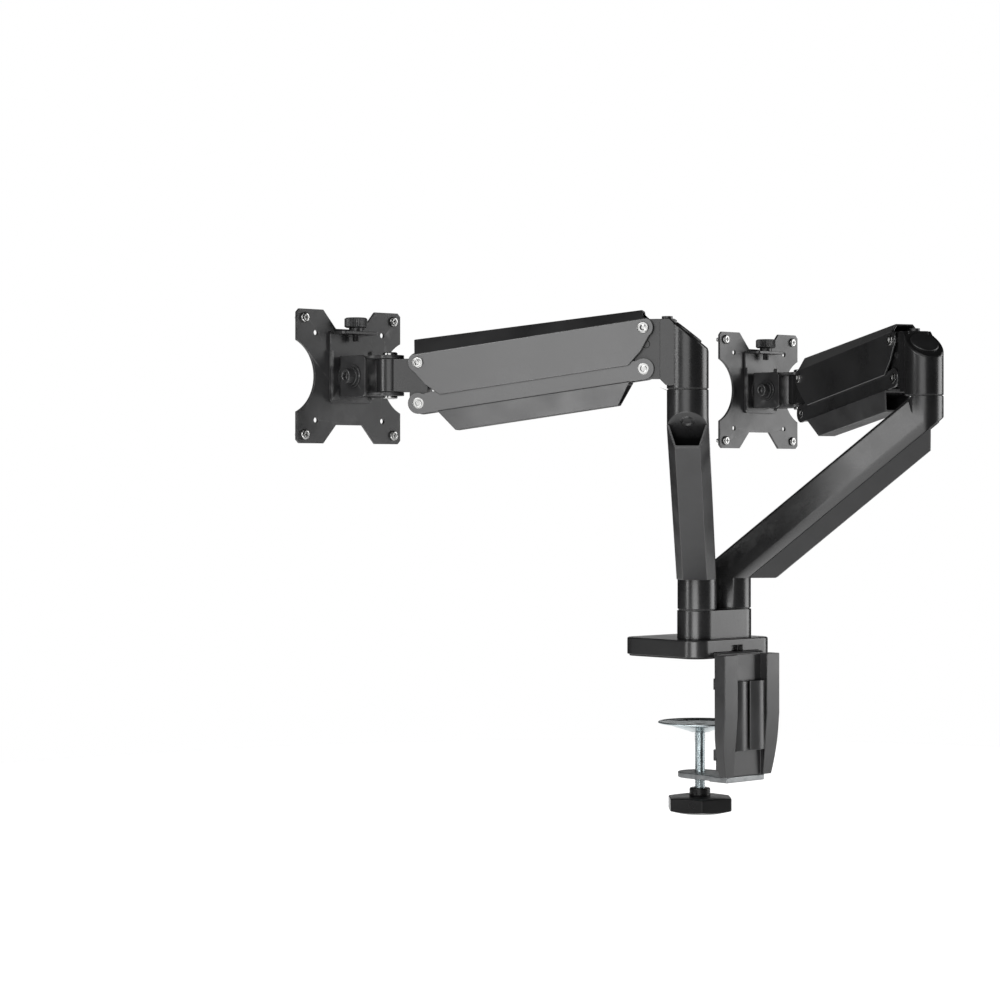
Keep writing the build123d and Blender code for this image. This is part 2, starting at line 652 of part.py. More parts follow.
def elbow_knuckle(arm):
    """Round knuckle with a slanted top, a cheek and a forked tang for the links."""
    half = POST_D / 2
    cheek_half = 14.6
    with BuildPart() as knuckle:
        with BuildSketch(arm.upper_side()) as profile:
            outline((-half - 1, KNUCKLE_FOOT_Z), (-half - 1, knuckle_top_height(-half - 1)),
                    (14.0, KNUCKLE_TOP_FRONT_Z), (half + 1, KNUCKLE_TOP_FRONT_Z), (half + 1, KNUCKLE_FOOT_Z))
            fillet(profile.vertices().group_by(Axis.X)[0].sort_by(Axis.Y)[-1], radius=8)
        extrude(amount=half + 1, both=True)
        with BuildSketch(arm.upper_plan(KNUCKLE_FOOT_Z)):
            Circle(half)
        extrude(amount=80, mode=Mode.INTERSECT)
        slanted = knuckle.faces().filter_by(GeomType.PLANE).sort_by(Axis.Z)[-2:]
        chamfer(slanted.edges().filter_by(lambda e: e.geom_type != GeomType.LINE), 1.2)
        # cheek beside the links, then the forked tang inside them
        with BuildSketch(arm.upper_side()):
            outline((4, TANG_BOTTOM_Z), (17, TANG_BOTTOM_Z), (CHEEK_REACH, TANG_BOTTOM_Z + 5),
                    (CHEEK_REACH, CHEEK_TOP_Z - 3), (20, CHEEK_TOP_Z), (14, CHEEK_TOP_Z),
                    (4, CHEEK_TOP_Z - 10))
        extrude(amount=cheek_half, both=True)
        with BuildSketch(arm.upper_side()):
            outline((10, PIVOT_Z - PIVOT_GAP - 8), (PIVOT_OFFSET, PIVOT_Z - PIVOT_GAP - 8),
                    (PIVOT_OFFSET, CHEEK_TOP_Z), (10, CHEEK_TOP_Z))
            outline((PIVOT_OFFSET - 1, PIVOT_Z - PIVOT_GAP), (PIVOT_OFFSET + 8, PIVOT_Z - PIVOT_GAP),
                    (PIVOT_OFFSET + 8, PIVOT_Z), (PIVOT_OFFSET - 1, PIVOT_Z))
            with Locations((PIVOT_OFFSET, PIVOT_Z), (PIVOT_OFFSET, PIVOT_Z - PIVOT_GAP)):
                Circle(8)
        extrude(amount=TANG_HALF, both=True)
        with BuildSketch(arm.upper_side()):
            outline((CHEEK_REACH, PIVOT_Z - PIVOT_GAP - 12), (80, PIVOT_Z - PIVOT_GAP - 12),
                    (80, PIVOT_Z + 20),
                    (CHEEK_REACH, PIVOT_Z + 20))
        extrude(amount=FORK_GAP_HALF, both=True, mode=Mode.SUBTRACT)
        with BuildSketch(tension_plane(arm)):
            Circle(TENSION_SCREW_R)
        extrude(amount=-TENSION_SCREW_LENGTH, mode=Mode.SUBTRACT)
        # pivot, spring and elbow pin bores
        with BuildSketch(arm.upper_side()):
            with Locations((PIVOT_OFFSET, PIVOT_Z), (PIVOT_OFFSET, PIVOT_Z - PIVOT_GAP)):
                Circle(PIVOT_PIN_D / 2 + PIN_CLEAR)
        extrude(amount=TANG_HALF + 5, both=True, mode=Mode.SUBTRACT)
        with BuildSketch(spring_plane(arm)):
            Circle(SPRING_PIN_D / 2)
        extrude(amount=TANG_HALF + 1, both=True, mode=Mode.SUBTRACT)
        with BuildSketch(arm.upper_plan(KNUCKLE_FOOT_Z)):
            Circle(ELBOW_PIN_D / 2)
        extrude(amount=ELBOW_PIN_TOP_Z - KNUCKLE_FOOT_Z, mode=Mode.SUBTRACT)
    return knuckle.part


def spring_plane(arm):
    """Link side plane moved to the gas spring's pin at the elbow."""
    link = arm.link_side()
    return Plane(origin=link.from_local_coords((0, -SPRING_DROP, 0)), x_dir=link.x_dir, z_dir=link.z_dir)


def tension_plane(arm):
    """Level plane on top of the cheek at the tension screw."""
    spot = arm.upper_side().from_local_coords((17.2, 0, 0))
    return plan_plane(spot, arm.upper_heading, CHEEK_TOP_Z)


def tension_screw(arm):
    """Hex-socket screw that sets the gas spring's lift."""
    with BuildPart() as screw:
        with BuildSketch(tension_plane(arm)):
            Circle(TENSION_SCREW_R)
        extrude(amount=-TENSION_SCREW_LENGTH)
        with BuildSketch(tension_plane(arm)):
            Circle(4.6)
        extrude(amount=2.6)
        with BuildSketch(tension_plane(arm).offset(2.6)):
            RegularPolygon(2.4, 6)
        extrude(amount=-1.8, mode=Mode.SUBTRACT)
    return screw.part


def elbow_pins(arm):
    """Elbow pin, and the cross pin in the fork that the gas spring pushes on."""
    with BuildPart() as pins:
        with BuildSketch(arm.upper_plan(ELBOW_PIN_BOTTOM_Z)):
            Circle(ELBOW_PIN_D / 2)
        extrude(amount=ELBOW_PIN_TOP_Z - ELBOW_PIN_BOTTOM_Z)
        with BuildSketch(spring_plane(arm)):
            Circle(SPRING_PIN_D / 2)
        extrude(amount=TANG_HALF - 0.2, both=True)
    return pins.part


def knuckle_cap(arm):
    """Round plain cap let on to the slanted top."""
    with BuildPart() as cap:
        with BuildSketch(knuckle_cap_plane(arm)):
            Circle(CAP_R)
        extrude(amount=CAP_T)
        chamfer(cap.faces().sort_by(Axis.Z)[-1].edges(), 0.5)
    return cap.part


# ---------------------------------------------------------------- upper arm
def upper_channel(arm):
    """Folded channel, open underneath, with a ridge that rises towards the head."""
    side = arm.link_side()
    start, length = -14.0, 222.0
    ridge_start, ridge_end = 14.6, 20.6
    shoulder = 7.0

    def profile(ridge, half, flat, drop):
        return [(-half, -40), (half, -40), (half, shoulder - drop), (flat, ridge - drop),
                (-flat, ridge - drop),
                (-half, shoulder - drop)]

    with BuildPart() as channel:
        with BuildSketch(section_plane(side, start)):
            outline(*profile(ridge_start, CHANNEL_HALF, 9.0, 0))
        with BuildSketch(section_plane(side, start + length)):
            outline(*profile(ridge_end, CHANNEL_HALF, 6.0, 0))
        loft()
        with BuildSketch(side):
            outline((-1, 30), (-1, 8.3), (-8.3, -2), (5.0, -19.5), (17.0, -29.5), (LINK_LENGTH - 14.5, -29.5),
                    (LINK_LENGTH - 3.5, -19.5), (LINK_LENGTH + 8.3, -2), (LINK_LENGTH + 2, 8.3),
                    (LINK_LENGTH + 2, 30))
            with Locations((0, 0), (LINK_LENGTH, 0)):
                Circle(BOSS_R)
        extrude(amount=CHANNEL_HALF + 1, both=True, mode=Mode.INTERSECT)
    with BuildPart() as hollow:
        with BuildSketch(section_plane(side, start - 5)):
            outline(*profile(ridge_start, CHANNEL_HALF - CHANNEL_WALL, 8.0, CHANNEL_WALL))
        with BuildSketch(section_plane(side, start + length + 5)):
            outline(*profile(ridge_end, CHANNEL_HALF - CHANNEL_WALL, 5.0, CHANNEL_WALL))
        loft()
    with BuildPart() as shell:
        add(channel.part)
        add(hollow.part, mode=Mode.SUBTRACT)
        with BuildSketch(side):
            with Locations((0, 0), (LINK_LENGTH, 0)):
                Circle(PIVOT_PIN_D / 2)
        extrude(amount=CHANNEL_HALF + 1, both=True, mode=Mode.SUBTRACT)
    return shell.part


def pivot_pins(plane, spots, half, head_t):
    """Cross pins with a hex-socket head on each side of a link."""
    with BuildPart() as pins:
        for spot in spots:
            with BuildSketch(plane):
                with Locations(spot):
                    Circle(PIVOT_PIN_D / 2)
            extrude(amount=half, both=True)
            for side in (-1, 1):
                with BuildSketch(plane.offset(side * half)):
                    with Locations(spot):
                        Circle(PIN_HEAD_R)
                extrude(amount=side * head_t)
                with BuildSketch(plane.offset(side * (half + head_t))):
                    with Locations(spot):
                        RegularPolygon(2.2, 6)
                extrude(amount=-side * 1.0, mode=Mode.SUBTRACT)
    return pins.part


def upper_pivot_pins(arm):
    """Two headed pivot pins, and the plain pin inside that holds the gas spring's rear eye."""
    headed = pivot_pins(arm.link_side(), [(0, 0), (LINK_LENGTH, 0)], CHANNEL_HALF, PIN_HEAD_T)
    with BuildPart() as pins:
        add(headed)
        with BuildSketch(spring_plane(arm)):
            with Locations((SPRING_ANCHOR, 0)):
                Circle(SPRING_PIN_D / 2)
        extrude(amount=CHANNEL_HALF - CHANNEL_WALL, both=True)
    return pins.part


def lower_pivot_pins(arm):
    """The lower link's pivot pins, with heads thin enough to pass inside the channel."""
    ends = [(LOWER_PIVOT_X, LOWER_PIVOT_Y), (LOWER_PIVOT_X + LINK_LENGTH, LOWER_PIVOT_Y)]
    return pivot_pins(arm.link_side(), ends, LINK_HALF, LINK_HEAD_T)


def lower_link(arm):
    """Second link of the parallelogram: a channel, open on top, nested in the first."""
    side = arm.link_side()
    near, far = LOWER_PIVOT_X, LOWER_PIVOT_X + LINK_LENGTH
    lip_y = -26.0
    with BuildPart() as link:
        with BuildSketch(side):
            outline((near, LINK_FLOOR_Y), (far, LINK_FLOOR_Y), (far + 7, LOWER_PIVOT_Y + 5), (far - 9, lip_y),
                    (near + 9, lip_y), (near - 7, LOWER_PIVOT_Y + 5))
            with Locations((near, LOWER_PIVOT_Y), (far, LOWER_PIVOT_Y)):
                Circle(9.0)
        extrude(amount=LINK_HALF, both=True)
        with BuildSketch(side):
            outline((near + 12, LINK_FLOOR_Y + LINK_WALL), (far - 12, LINK_FLOOR_Y + LINK_WALL),
                    (far - 12, 10), (near + 12, 10))
            for tip, root in ((near - 20, near + 12), (far + 20, far - 12)):
                outline((tip, LINK_FLOOR_Y - 5), (root, LINK_FLOOR_Y - 5), (root, 10), (tip, 10))
        extrude(amount=LINK_HALF - LINK_WALL, both=True, mode=Mode.SUBTRACT)
        with BuildSketch(side):
            with Locations((near, LOWER_PIVOT_Y), (far, LOWER_PIVOT_Y)):
                Circle(PIVOT_PIN_D / 2)
        extrude(amount=LINK_HALF + 1, both=True, mode=Mode.SUBTRACT)
    return link.part


def under_cover(arm):
    """Tapered cable cover under the lower link, open at both bevelled ends."""
    side = arm.link_side()
    top = LINK_FLOOR_Y - 0.05
    wall = 1.8
    with BuildPart() as cover:
        with BuildSketch(section_plane(side, 0)):
            outline((-14.6, top), (14.6, top), (8.8, UNDER_COVER_BOTTOM_Y), (-8.8, UNDER_COVER_BOTTOM_Y))
            outline((-14.6 + wall, top - wall), (14.6 - wall, top - wall),
                    (8.8 - wall / 2, UNDER_COVER_BOTTOM_Y + wall),
                    (-8.8 + wall / 2, UNDER_COVER_BOTTOM_Y + wall), mode=Mode.SUBTRACT)
        extrude(amount=LINK_LENGTH)
        with BuildSketch(side):
            outline((17.0, top + 1), (183.5, top + 1), (170.0, UNDER_COVER_BOTTOM_Y - 1),
                    (31.5, UNDER_COVER_BOTTOM_Y - 1))
        extrude(amount=16, both=True, mode=Mode.INTERSECT)
    return cover.part


def gas_spring(arm):
    """Cylinder of the gas spring with its rear eye."""
    spring = spring_plane(arm)
    with BuildPart() as cylinder:
        with BuildSketch(section_plane(spring, SPRING_START)):
            Circle(SPRING_R)
        extrude(amount=SPRING_END - SPRING_START)
        chamfer(cylinder.edges().filter_by(GeomType.CIRCLE), 1.2)
        with BuildSketch(spring):
            outline((SPRING_END - 1, -6), (SPRING_ANCHOR, -6), (SPRING_ANCHOR, 6), (SPRING_END - 1, 6))
            with Locations((SPRING_ANCHOR, 0)):
                Circle(6)
        extrude(amount=4, both=True)
        with BuildSketch(spring):
            with Locations((SPRING_ANCHOR, 0)):
                Circle(SPRING_PIN_D / 2)
        extrude(amount=8, both=True, mode=Mode.SUBTRACT)
        with BuildSketch(section_plane(spring, SPRING_START)):
            Circle(ROD_R + PIN_CLEAR)
        extrude(amount=ROD_BORE_END - SPRING_START, mode=Mode.SUBTRACT)
    return cylinder.part


def gas_rod(arm):
    """Piston rod with a slotted eye round the spring pin."""
    spring = spring_plane(arm)
    slot_r = SPRING_PIN_D / 2 + 0.9
    with BuildPart() as rod:
        with BuildSketch(section_plane(spring, 3)):
            Circle(ROD_R)
        extrude(amount=ROD_END - 3)
        with BuildSketch(spring):
            SlotCenterToCenter(2 * EYE_SLOT_HALF, 2 * slot_r + 3.4, rotation=90)
        extrude(amount=EYE_HALF_T, both=True)
        with BuildSketch(spring):
            SlotCenterToCenter(2 * EYE_SLOT_HALF, 2 * slot_r, rotation=90)
        extrude(amount=EYE_HALF_T + 2, both=True, mode=Mode.SUBTRACT)
    return rod.part


# ---------------------------------------------------------------- head


def front_side(arm):
    """Upright plane through the pan axis, its x axis towards the screens."""
    return side_plane(arm.pan, -90)


def front_plan(arm, z):
    return plan_plane(arm.pan, -90, z)


def front_section(arm, distance):
    """Plane parallel to the screen, a distance in front of the pan axis, at head height."""
    side = front_side(arm)
    origin = side.from_local_coords((distance, HEAD_Z, 0))
    return Plane(origin=origin, x_dir=-side.z_dir, z_dir=side.x_dir)


def head_knuckle(arm):
    """Level head block: tang inside the links, neck, and the barrel of the pan joint."""
    side = arm.head_side()
    upper_z = arm.head_pivot.Z
    lower_z = upper_z - PIVOT_GAP
    back = -PAN_OFFSET
    with BuildPart() as head:
        with BuildSketch(side):
            outline((back - 8, lower_z), (back + 8, lower_z), (back + 8, upper_z), (back - 8, upper_z))
            with Locations((back, lower_z), (back, upper_z)):
                Circle(8)
            outline((back, BARREL_BOTTOM_Z), (0, BARREL_BOTTOM_Z), (0, BARREL_TOP_Z), (back, BARREL_TOP_Z))
        extrude(amount=TANG_HALF, both=True)
        with BuildSketch(plan_plane(arm.pan, arm.upper_heading, BARREL_BOTTOM_Z)):
            Circle(BARREL_R)
        extrude(amount=2 * PAN_HALF_HEIGHT)
        with BuildSketch(plan_plane(arm.pan, arm.upper_heading, BARREL_BOTTOM_Z)):
            Circle(PAN_PIN_R + PIN_CLEAR)
        extrude(amount=2 * PAN_HALF_HEIGHT, mode=Mode.SUBTRACT)
        with BuildSketch(side):
            with Locations((back, upper_z)):
                Circle(PIVOT_PIN_D / 2 + PIN_CLEAR)
            with Locations((back, lower_z)):
                Circle(PIVOT_PIN_D / 2 + 0.25)
        extrude(amount=TANG_HALF + 1, both=True, mode=Mode.SUBTRACT)
    return head.part


def pan_bracket(arm):
    """Ears above and below the pan barrel, joined to the barrel of the tilt joint."""
    outer_half = PAN_HALF_HEIGHT + EAR_GAP + EAR_T
    with BuildPart() as bracket:
        with BuildSketch(front_plan(arm, HEAD_Z - outer_half)):
            Circle(EAR_HALF)
            with Locations((PAN_WEB_FRONT / 2, 0)):
                Rectangle(PAN_WEB_FRONT, 2 * EAR_HALF)
        extrude(amount=2 * outer_half)
        with BuildSketch(front_plan(arm, BARREL_BOTTOM_Z - EAR_GAP)):
            with Locations((-20 + PAN_WEB_FRONT - EAR_T, 0)):
                Rectangle(40, 40)
        extrude(amount=2 * (PAN_HALF_HEIGHT + EAR_GAP), mode=Mode.SUBTRACT)
        with BuildSketch(front_side(arm)):
            with Locations((TILT_OFFSET, HEAD_Z)):
                Circle(TILT_BARREL_R)
            outline((PAN_WEB_FRONT - 1, HEAD_Z - 9), (TILT_OFFSET, HEAD_Z - 9), (TILT_OFFSET, HEAD_Z + 9),
                    (PAN_WEB_FRONT - 1, HEAD_Z + 9))
        extrude(amount=TILT_BARREL_HALF, both=True)
        with BuildSketch(front_side(arm)):
            with Locations((TILT_OFFSET, HEAD_Z)):
                Circle(TILT_BOLT_R + PIN_CLEAR)
        extrude(amount=TILT_BARREL_HALF + 1, both=True, mode=Mode.SUBTRACT)
        with BuildSketch(front_plan(arm, HEAD_Z - outer_half)):
            Circle(PAN_PIN_R)
        extrude(amount=2 * outer_half, mode=Mode.SUBTRACT)
    return bracket.part


def pan_pin(arm):
    """Steel pin of the pan joint with a broad head at each end."""
    outer_half = PAN_HALF_HEIGHT + EAR_GAP + EAR_T
    with BuildPart() as pin:
        with BuildSketch(front_plan(arm, HEAD_Z - outer_half)):
            Circle(PAN_PIN_R)
        extrude(amount=2 * outer_half)
        with BuildSketch(front_plan(arm, HEAD_Z + outer_half)):
            Circle(6.4)
        extrude(amount=2.6)
        with BuildSketch(front_plan(arm, HEAD_Z - outer_half)):
            Circle(6.4)
        extrude(amount=-2.6)
    return pin.part


def tilt_bracket(arm):
    """Folded steel U: two flanges beside the tilt barrel and a web towards the screen."""
    low, high = HEAD_Z - FLANGE_HALF_HEIGHT, HEAD_Z + FLANGE_HALF_HEIGHT
    with BuildPart() as bracket:
        with BuildSketch(front_side(arm)) as flange:
            outline((FLANGE_REAR, low), (TILT_WEB_FRONT, low), (TILT_WEB_FRONT, high), (FLANGE_REAR, high))
            fillet(flange.vertices().group_by(Axis.X)[0], radius=5)
        extrude(amount=FLANGE_HALF, both=True)
        upright = bracket.edges().filter_by(Axis.Z).group_by(Axis.Y)[0]
        fillet(upright, radius=3.4)
        with BuildSketch(front_side(arm)):
            outline((0, low - 5), (TILT_WEB_FRONT - FLANGE_T, low - 5), (TILT_WEB_FRONT - FLANGE_T, high + 5),
                    (0, high + 5))
        extrude(amount=FLANGE_HALF - FLANGE_T, both=True, mode=Mode.SUBTRACT)
        with BuildSketch(front_side(arm)):
            with Locations((TILT_OFFSET, HEAD_Z)):
                Circle(TILT_BOLT_R)
        extrude(amount=FLANGE_HALF + 1, both=True, mode=Mode.SUBTRACT)
        with BuildSketch(front_section(arm, TILT_WEB_FRONT - 2 * FLANGE_T)):
            Circle(RIVET_R)
        extrude(amount=3 * FLANGE_T, mode=Mode.SUBTRACT)
    return bracket.part


def tilt_bolt(arm):
    """Tilt clamping bolt: socket head, broad and narrow washers, and nut."""
    side = front_side(arm)
    stack = FLANGE_HALF + 3.5
    with BuildPart() as bolt:
        with BuildSketch(side.offset(-stack)):
            with Locations((TILT_OFFSET, HEAD_Z)):
                Circle(TILT_BOLT_R)
        extrude(amount=2 * stack + 8)
        with BuildSketch(side.offset(-stack)):
            with Locations((TILT_OFFSET, HEAD_Z)):
                Circle(6.4)
        extrude(amount=-6)
        with BuildSketch(side.offset(-stack - 6)):
            with Locations((TILT_OFFSET, HEAD_Z)):
                RegularPolygon(3.4, 6)
        extrude(amount=3.5, mode=Mode.SUBTRACT)
        with BuildSketch(side.offset(stack)):
            with Locations((TILT_OFFSET, HEAD_Z)):
                RegularPolygon(7.5, 6)
        extrude(amount=6)
        for end in (-1, 1):
            for start, radius, thickness in ((0, 10.0, 1.5), (1.5, 8.0, 2.0)):
                with BuildSketch(side.offset(end * (FLANGE_HALF + start))):
                    with Locations((TILT_OFFSET, HEAD_Z)):
                        Circle(radius)
                extrude(amount=end * thickness)
    return bolt.part


def rotation_rivet(arm):
    """Hollow-headed rivet and spacer that let the plate turn on the tilt bracket."""
    web_back = TILT_WEB_FRONT - FLANGE_T
    with BuildPart() as rivet:
        with BuildSketch(front_section(arm, web_back)):
            Circle(9.0)
        extrude(amount=-2.0)
        with BuildSketch(front_section(arm, web_back)):
            Circle(RIVET_R)
        extrude(amount=PLATE_BACK - 0.1 - web_back)
        with BuildSketch(front_section(arm, TILT_WEB_FRONT)):
            Circle(16.0)
        extrude(amount=ADAPTER_BACK - 0.1 - TILT_WEB_FRONT)
    return rivet.part


def quick_plate(arm):
    """Quick-release slide behind the screen plate, with a folded tab for the thumbscrew."""
    low, high = 226.0, ADAPTER_TOP_Z
    rail_low, rail_high = 229.0, 271.0
    rail_depth = 2.2
    tab_back = 37.0
    thickness = PLATE_BACK - ADAPTER_BACK
    with BuildPart() as slide:
        with BuildSketch(front_section(arm, ADAPTER_BACK)) as face:
            outline((-ADAPTER_HALF, low - HEAD_Z), (ADAPTER_HALF, low - HEAD_Z),
                    (ADAPTER_HALF, high - HEAD_Z), (-ADAPTER_HALF, high - HEAD_Z))
            fillet(face.vertices(), radius=3)
        extrude(amount=thickness)
        for side in (-1, 1):
            with BuildSketch(front_section(arm, ADAPTER_BACK)):
                with Locations((side * (ADAPTER_HALF - 1.2), (rail_low + rail_high) / 2 - HEAD_Z)):
                    Rectangle(2.4, rail_high - rail_low)
            extrude(amount=-rail_depth)
        with BuildSketch(front_plan(arm, high)):
            with Locations(((tab_back + ADAPTER_BACK) / 2 + 0.5, 0)):
                RectangleRounded(ADAPTER_BACK - tab_back + 1, 2 * ADAPTER_HALF - 7, 3)
        extrude(amount=-thickness)
        with BuildSketch(front_plan(arm, high)):
            with Locations((THUMB_AT, 0)):
                Circle(THUMB_SHANK_R + PIN_CLEAR)
        extrude(amount=-thickness, mode=Mode.SUBTRACT)
        with BuildSketch(front_section(arm, ADAPTER_BACK)):
            Circle(RIVET_R + PIN_CLEAR)
        extrude(amount=thickness, mode=Mode.SUBTRACT)
    return slide.part


def thumb_screw(arm):
    """Thumbscrew that locks the screen plate on its slide."""
    collar_h, head_h, head_r, shank = 3.4, 8.6, 10.0, 8.5
    with BuildPart() as screw:
        with BuildSketch(front_plan(arm, ADAPTER_TOP_Z - shank)):
            with Locations((THUMB_AT, 0)):
                Circle(THUMB_SHANK_R)
        extrude(amount=shank + 1)
        with BuildSketch(front_plan(arm, ADAPTER_TOP_Z)):
            with Locations((THUMB_AT, 0)):
                Circle(6.0)
        extrude(amount=collar_h + 0.5)
        with BuildSketch(front_plan(arm, ADAPTER_TOP_Z + collar_h)):
            with Locations((THUMB_AT, 0)):
                Circle(head_r)
                with PolarLocations(head_r + 0.5, 10):
                    Circle(1.6, mode=Mode.SUBTRACT)
        extrude(amount=head_h)
    return screw.part


def vesa_plate(arm):
    """Screen plate: waisted sides, notched top and bottom, 75 mm and 100 mm patterns."""
    waist_depth, waist_half = 20.0, 30.5
    waist_r = (waist_half ** 2 + waist_depth ** 2) / (2 * waist_depth)
    notch_depth, notch_half, notch_mouth = 16.0, 15.0, 30.0
    with BuildPart() as plate:
        with BuildSketch(front_section(arm, PLATE_BACK)) as face:
            Rectangle(2 * PLATE_HALF_X, 2 * PLATE_HALF_Z)
            chamfer(face.vertices(), 3.0)
            with Locations(*[(s * (PLATE_HALF_X - waist_depth + waist_r), 0) for s in (-1, 1)]):
                Circle(waist_r, mode=Mode.SUBTRACT)
            for s in (-1, 1):
                edge, bed = s * (PLATE_HALF_Z + 1), s * (PLATE_HALF_Z - notch_depth)
                outline((-notch_mouth, edge), (-notch_half, bed), (notch_half, bed), (notch_mouth, edge),
                        mode=Mode.SUBTRACT)
            with GridLocations(100, 100, 2, 2):
                Circle(VESA_NECK_R + PIN_CLEAR, mode=Mode.SUBTRACT)
            with GridLocations(75, 75, 2, 2):
                Circle(VESA_HOLE_R, mode=Mode.SUBTRACT)
        extrude(amount=PLATE_T)
    return plate.part


def vesa_screws(arm):
    """Four captive screws that stand out of the plate towards the screen."""
    with BuildPart() as screws:
        with BuildSketch(front_section(arm, PLATE_BACK)):
            with GridLocations(100, 100, 2, 2):
                Circle(4.4)
        extrude(amount=-2.4)
        with BuildSketch(front_section(arm, PLATE_BACK)):
            with GridLocations(100, 100, 2, 2):
                Circle(VESA_NECK_R)
        extrude(amount=PLATE_T)
        with BuildSketch(front_section(arm, PLATE_BACK + PLATE_T)):
            with GridLocations(100, 100, 2, 2):
                Circle(VESA_STUD_R)
        extrude(amount=9.0)
        with BuildSketch(front_section(arm, PLATE_BACK - 2.4)):
            with GridLocations(100, 100, 2, 2):
                RegularPolygon(1.9, 4)
        extrude(amount=1.2, mode=Mode.SUBTRACT)
    return screws.part


def elbow_washer(arm):
    """Thin bearing washer between the lower arm and the knuckle."""
    with BuildPart() as washer:
        with BuildSketch(arm.upper_plan(ELBOW_SEAM_Z)):
            Circle(POST_D / 2 - 1)
            Circle(ELBOW_PIN_D / 2 + 0.1, mode=Mode.SUBTRACT)
        extrude(amount=WASHER_T)
    return washer.part


ARM_PIECES = {
    "lower_arm": lower_arm,
    "arm_cable_cover": arm_cable_cover,
    "elbow_washer": elbow_washer,
    "elbow_pins": elbow_pins,
    "elbow_knuckle": elbow_knuckle,
    "knuckle_cap": knuckle_cap,
    "tension_screw": tension_screw,
    "upper_channel": upper_channel,
    "upper_pivot_pins": upper_pivot_pins,
    "gas_spring": gas_spring,
    "gas_rod": gas_rod,
    "lower_link": lower_link,
    "lower_pivot_pins": lower_pivot_pins,
    "under_cover": under_cover,
    "head_knuckle": head_knuckle,
    "pan_bracket": pan_bracket,
    "pan_pin": pan_pin,
    "tilt_bracket": tilt_bracket,
    "tilt_bolt": tilt_bolt,
}
PLATE_PIECES = {
    "rotation_rivet": rotation_rivet,
    "quick_plate": quick_plate,
    "thumb_screw": thumb_screw,
    "vesa_plate": vesa_plate,
    "vesa_screws": vesa_screws,
}

for spec in ARMS:
    frame = ArmFrame(*spec)
    for piece, make in {**ARM_PIECES, **PLATE_PIECES}.items():
        save(f"{frame.side}_{piece}", make(frame))
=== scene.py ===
import json
from math import ceil, cos, pi, radians, sin

import bmesh
import bpy
from mathutils import Matrix, Vector

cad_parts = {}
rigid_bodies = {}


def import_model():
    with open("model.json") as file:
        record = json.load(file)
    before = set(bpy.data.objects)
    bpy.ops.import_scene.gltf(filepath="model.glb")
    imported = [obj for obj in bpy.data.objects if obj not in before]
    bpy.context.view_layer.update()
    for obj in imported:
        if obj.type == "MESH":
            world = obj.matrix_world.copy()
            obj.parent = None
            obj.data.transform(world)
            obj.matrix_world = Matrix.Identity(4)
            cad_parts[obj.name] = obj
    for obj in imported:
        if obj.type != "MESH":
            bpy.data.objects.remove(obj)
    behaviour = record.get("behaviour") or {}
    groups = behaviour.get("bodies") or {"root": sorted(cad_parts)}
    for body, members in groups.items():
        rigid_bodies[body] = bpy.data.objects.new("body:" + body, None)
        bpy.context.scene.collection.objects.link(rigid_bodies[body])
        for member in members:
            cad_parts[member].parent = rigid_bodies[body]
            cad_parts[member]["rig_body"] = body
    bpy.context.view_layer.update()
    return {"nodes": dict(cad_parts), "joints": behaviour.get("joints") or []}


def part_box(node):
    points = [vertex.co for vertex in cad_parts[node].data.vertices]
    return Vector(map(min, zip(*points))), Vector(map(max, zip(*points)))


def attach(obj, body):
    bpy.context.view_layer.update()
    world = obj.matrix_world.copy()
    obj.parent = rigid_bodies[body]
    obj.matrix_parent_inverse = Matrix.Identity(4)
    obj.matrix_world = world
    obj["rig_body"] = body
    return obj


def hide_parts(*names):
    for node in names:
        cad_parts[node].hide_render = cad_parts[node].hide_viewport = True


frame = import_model()
NODES = frame["nodes"]
JOINTS = {joint["name"]: joint for joint in frame["joints"]}
BODY_OF = {name: obj["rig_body"] for name, obj in NODES.items()}
MM = 0.001
SIDES = ("right", "left")


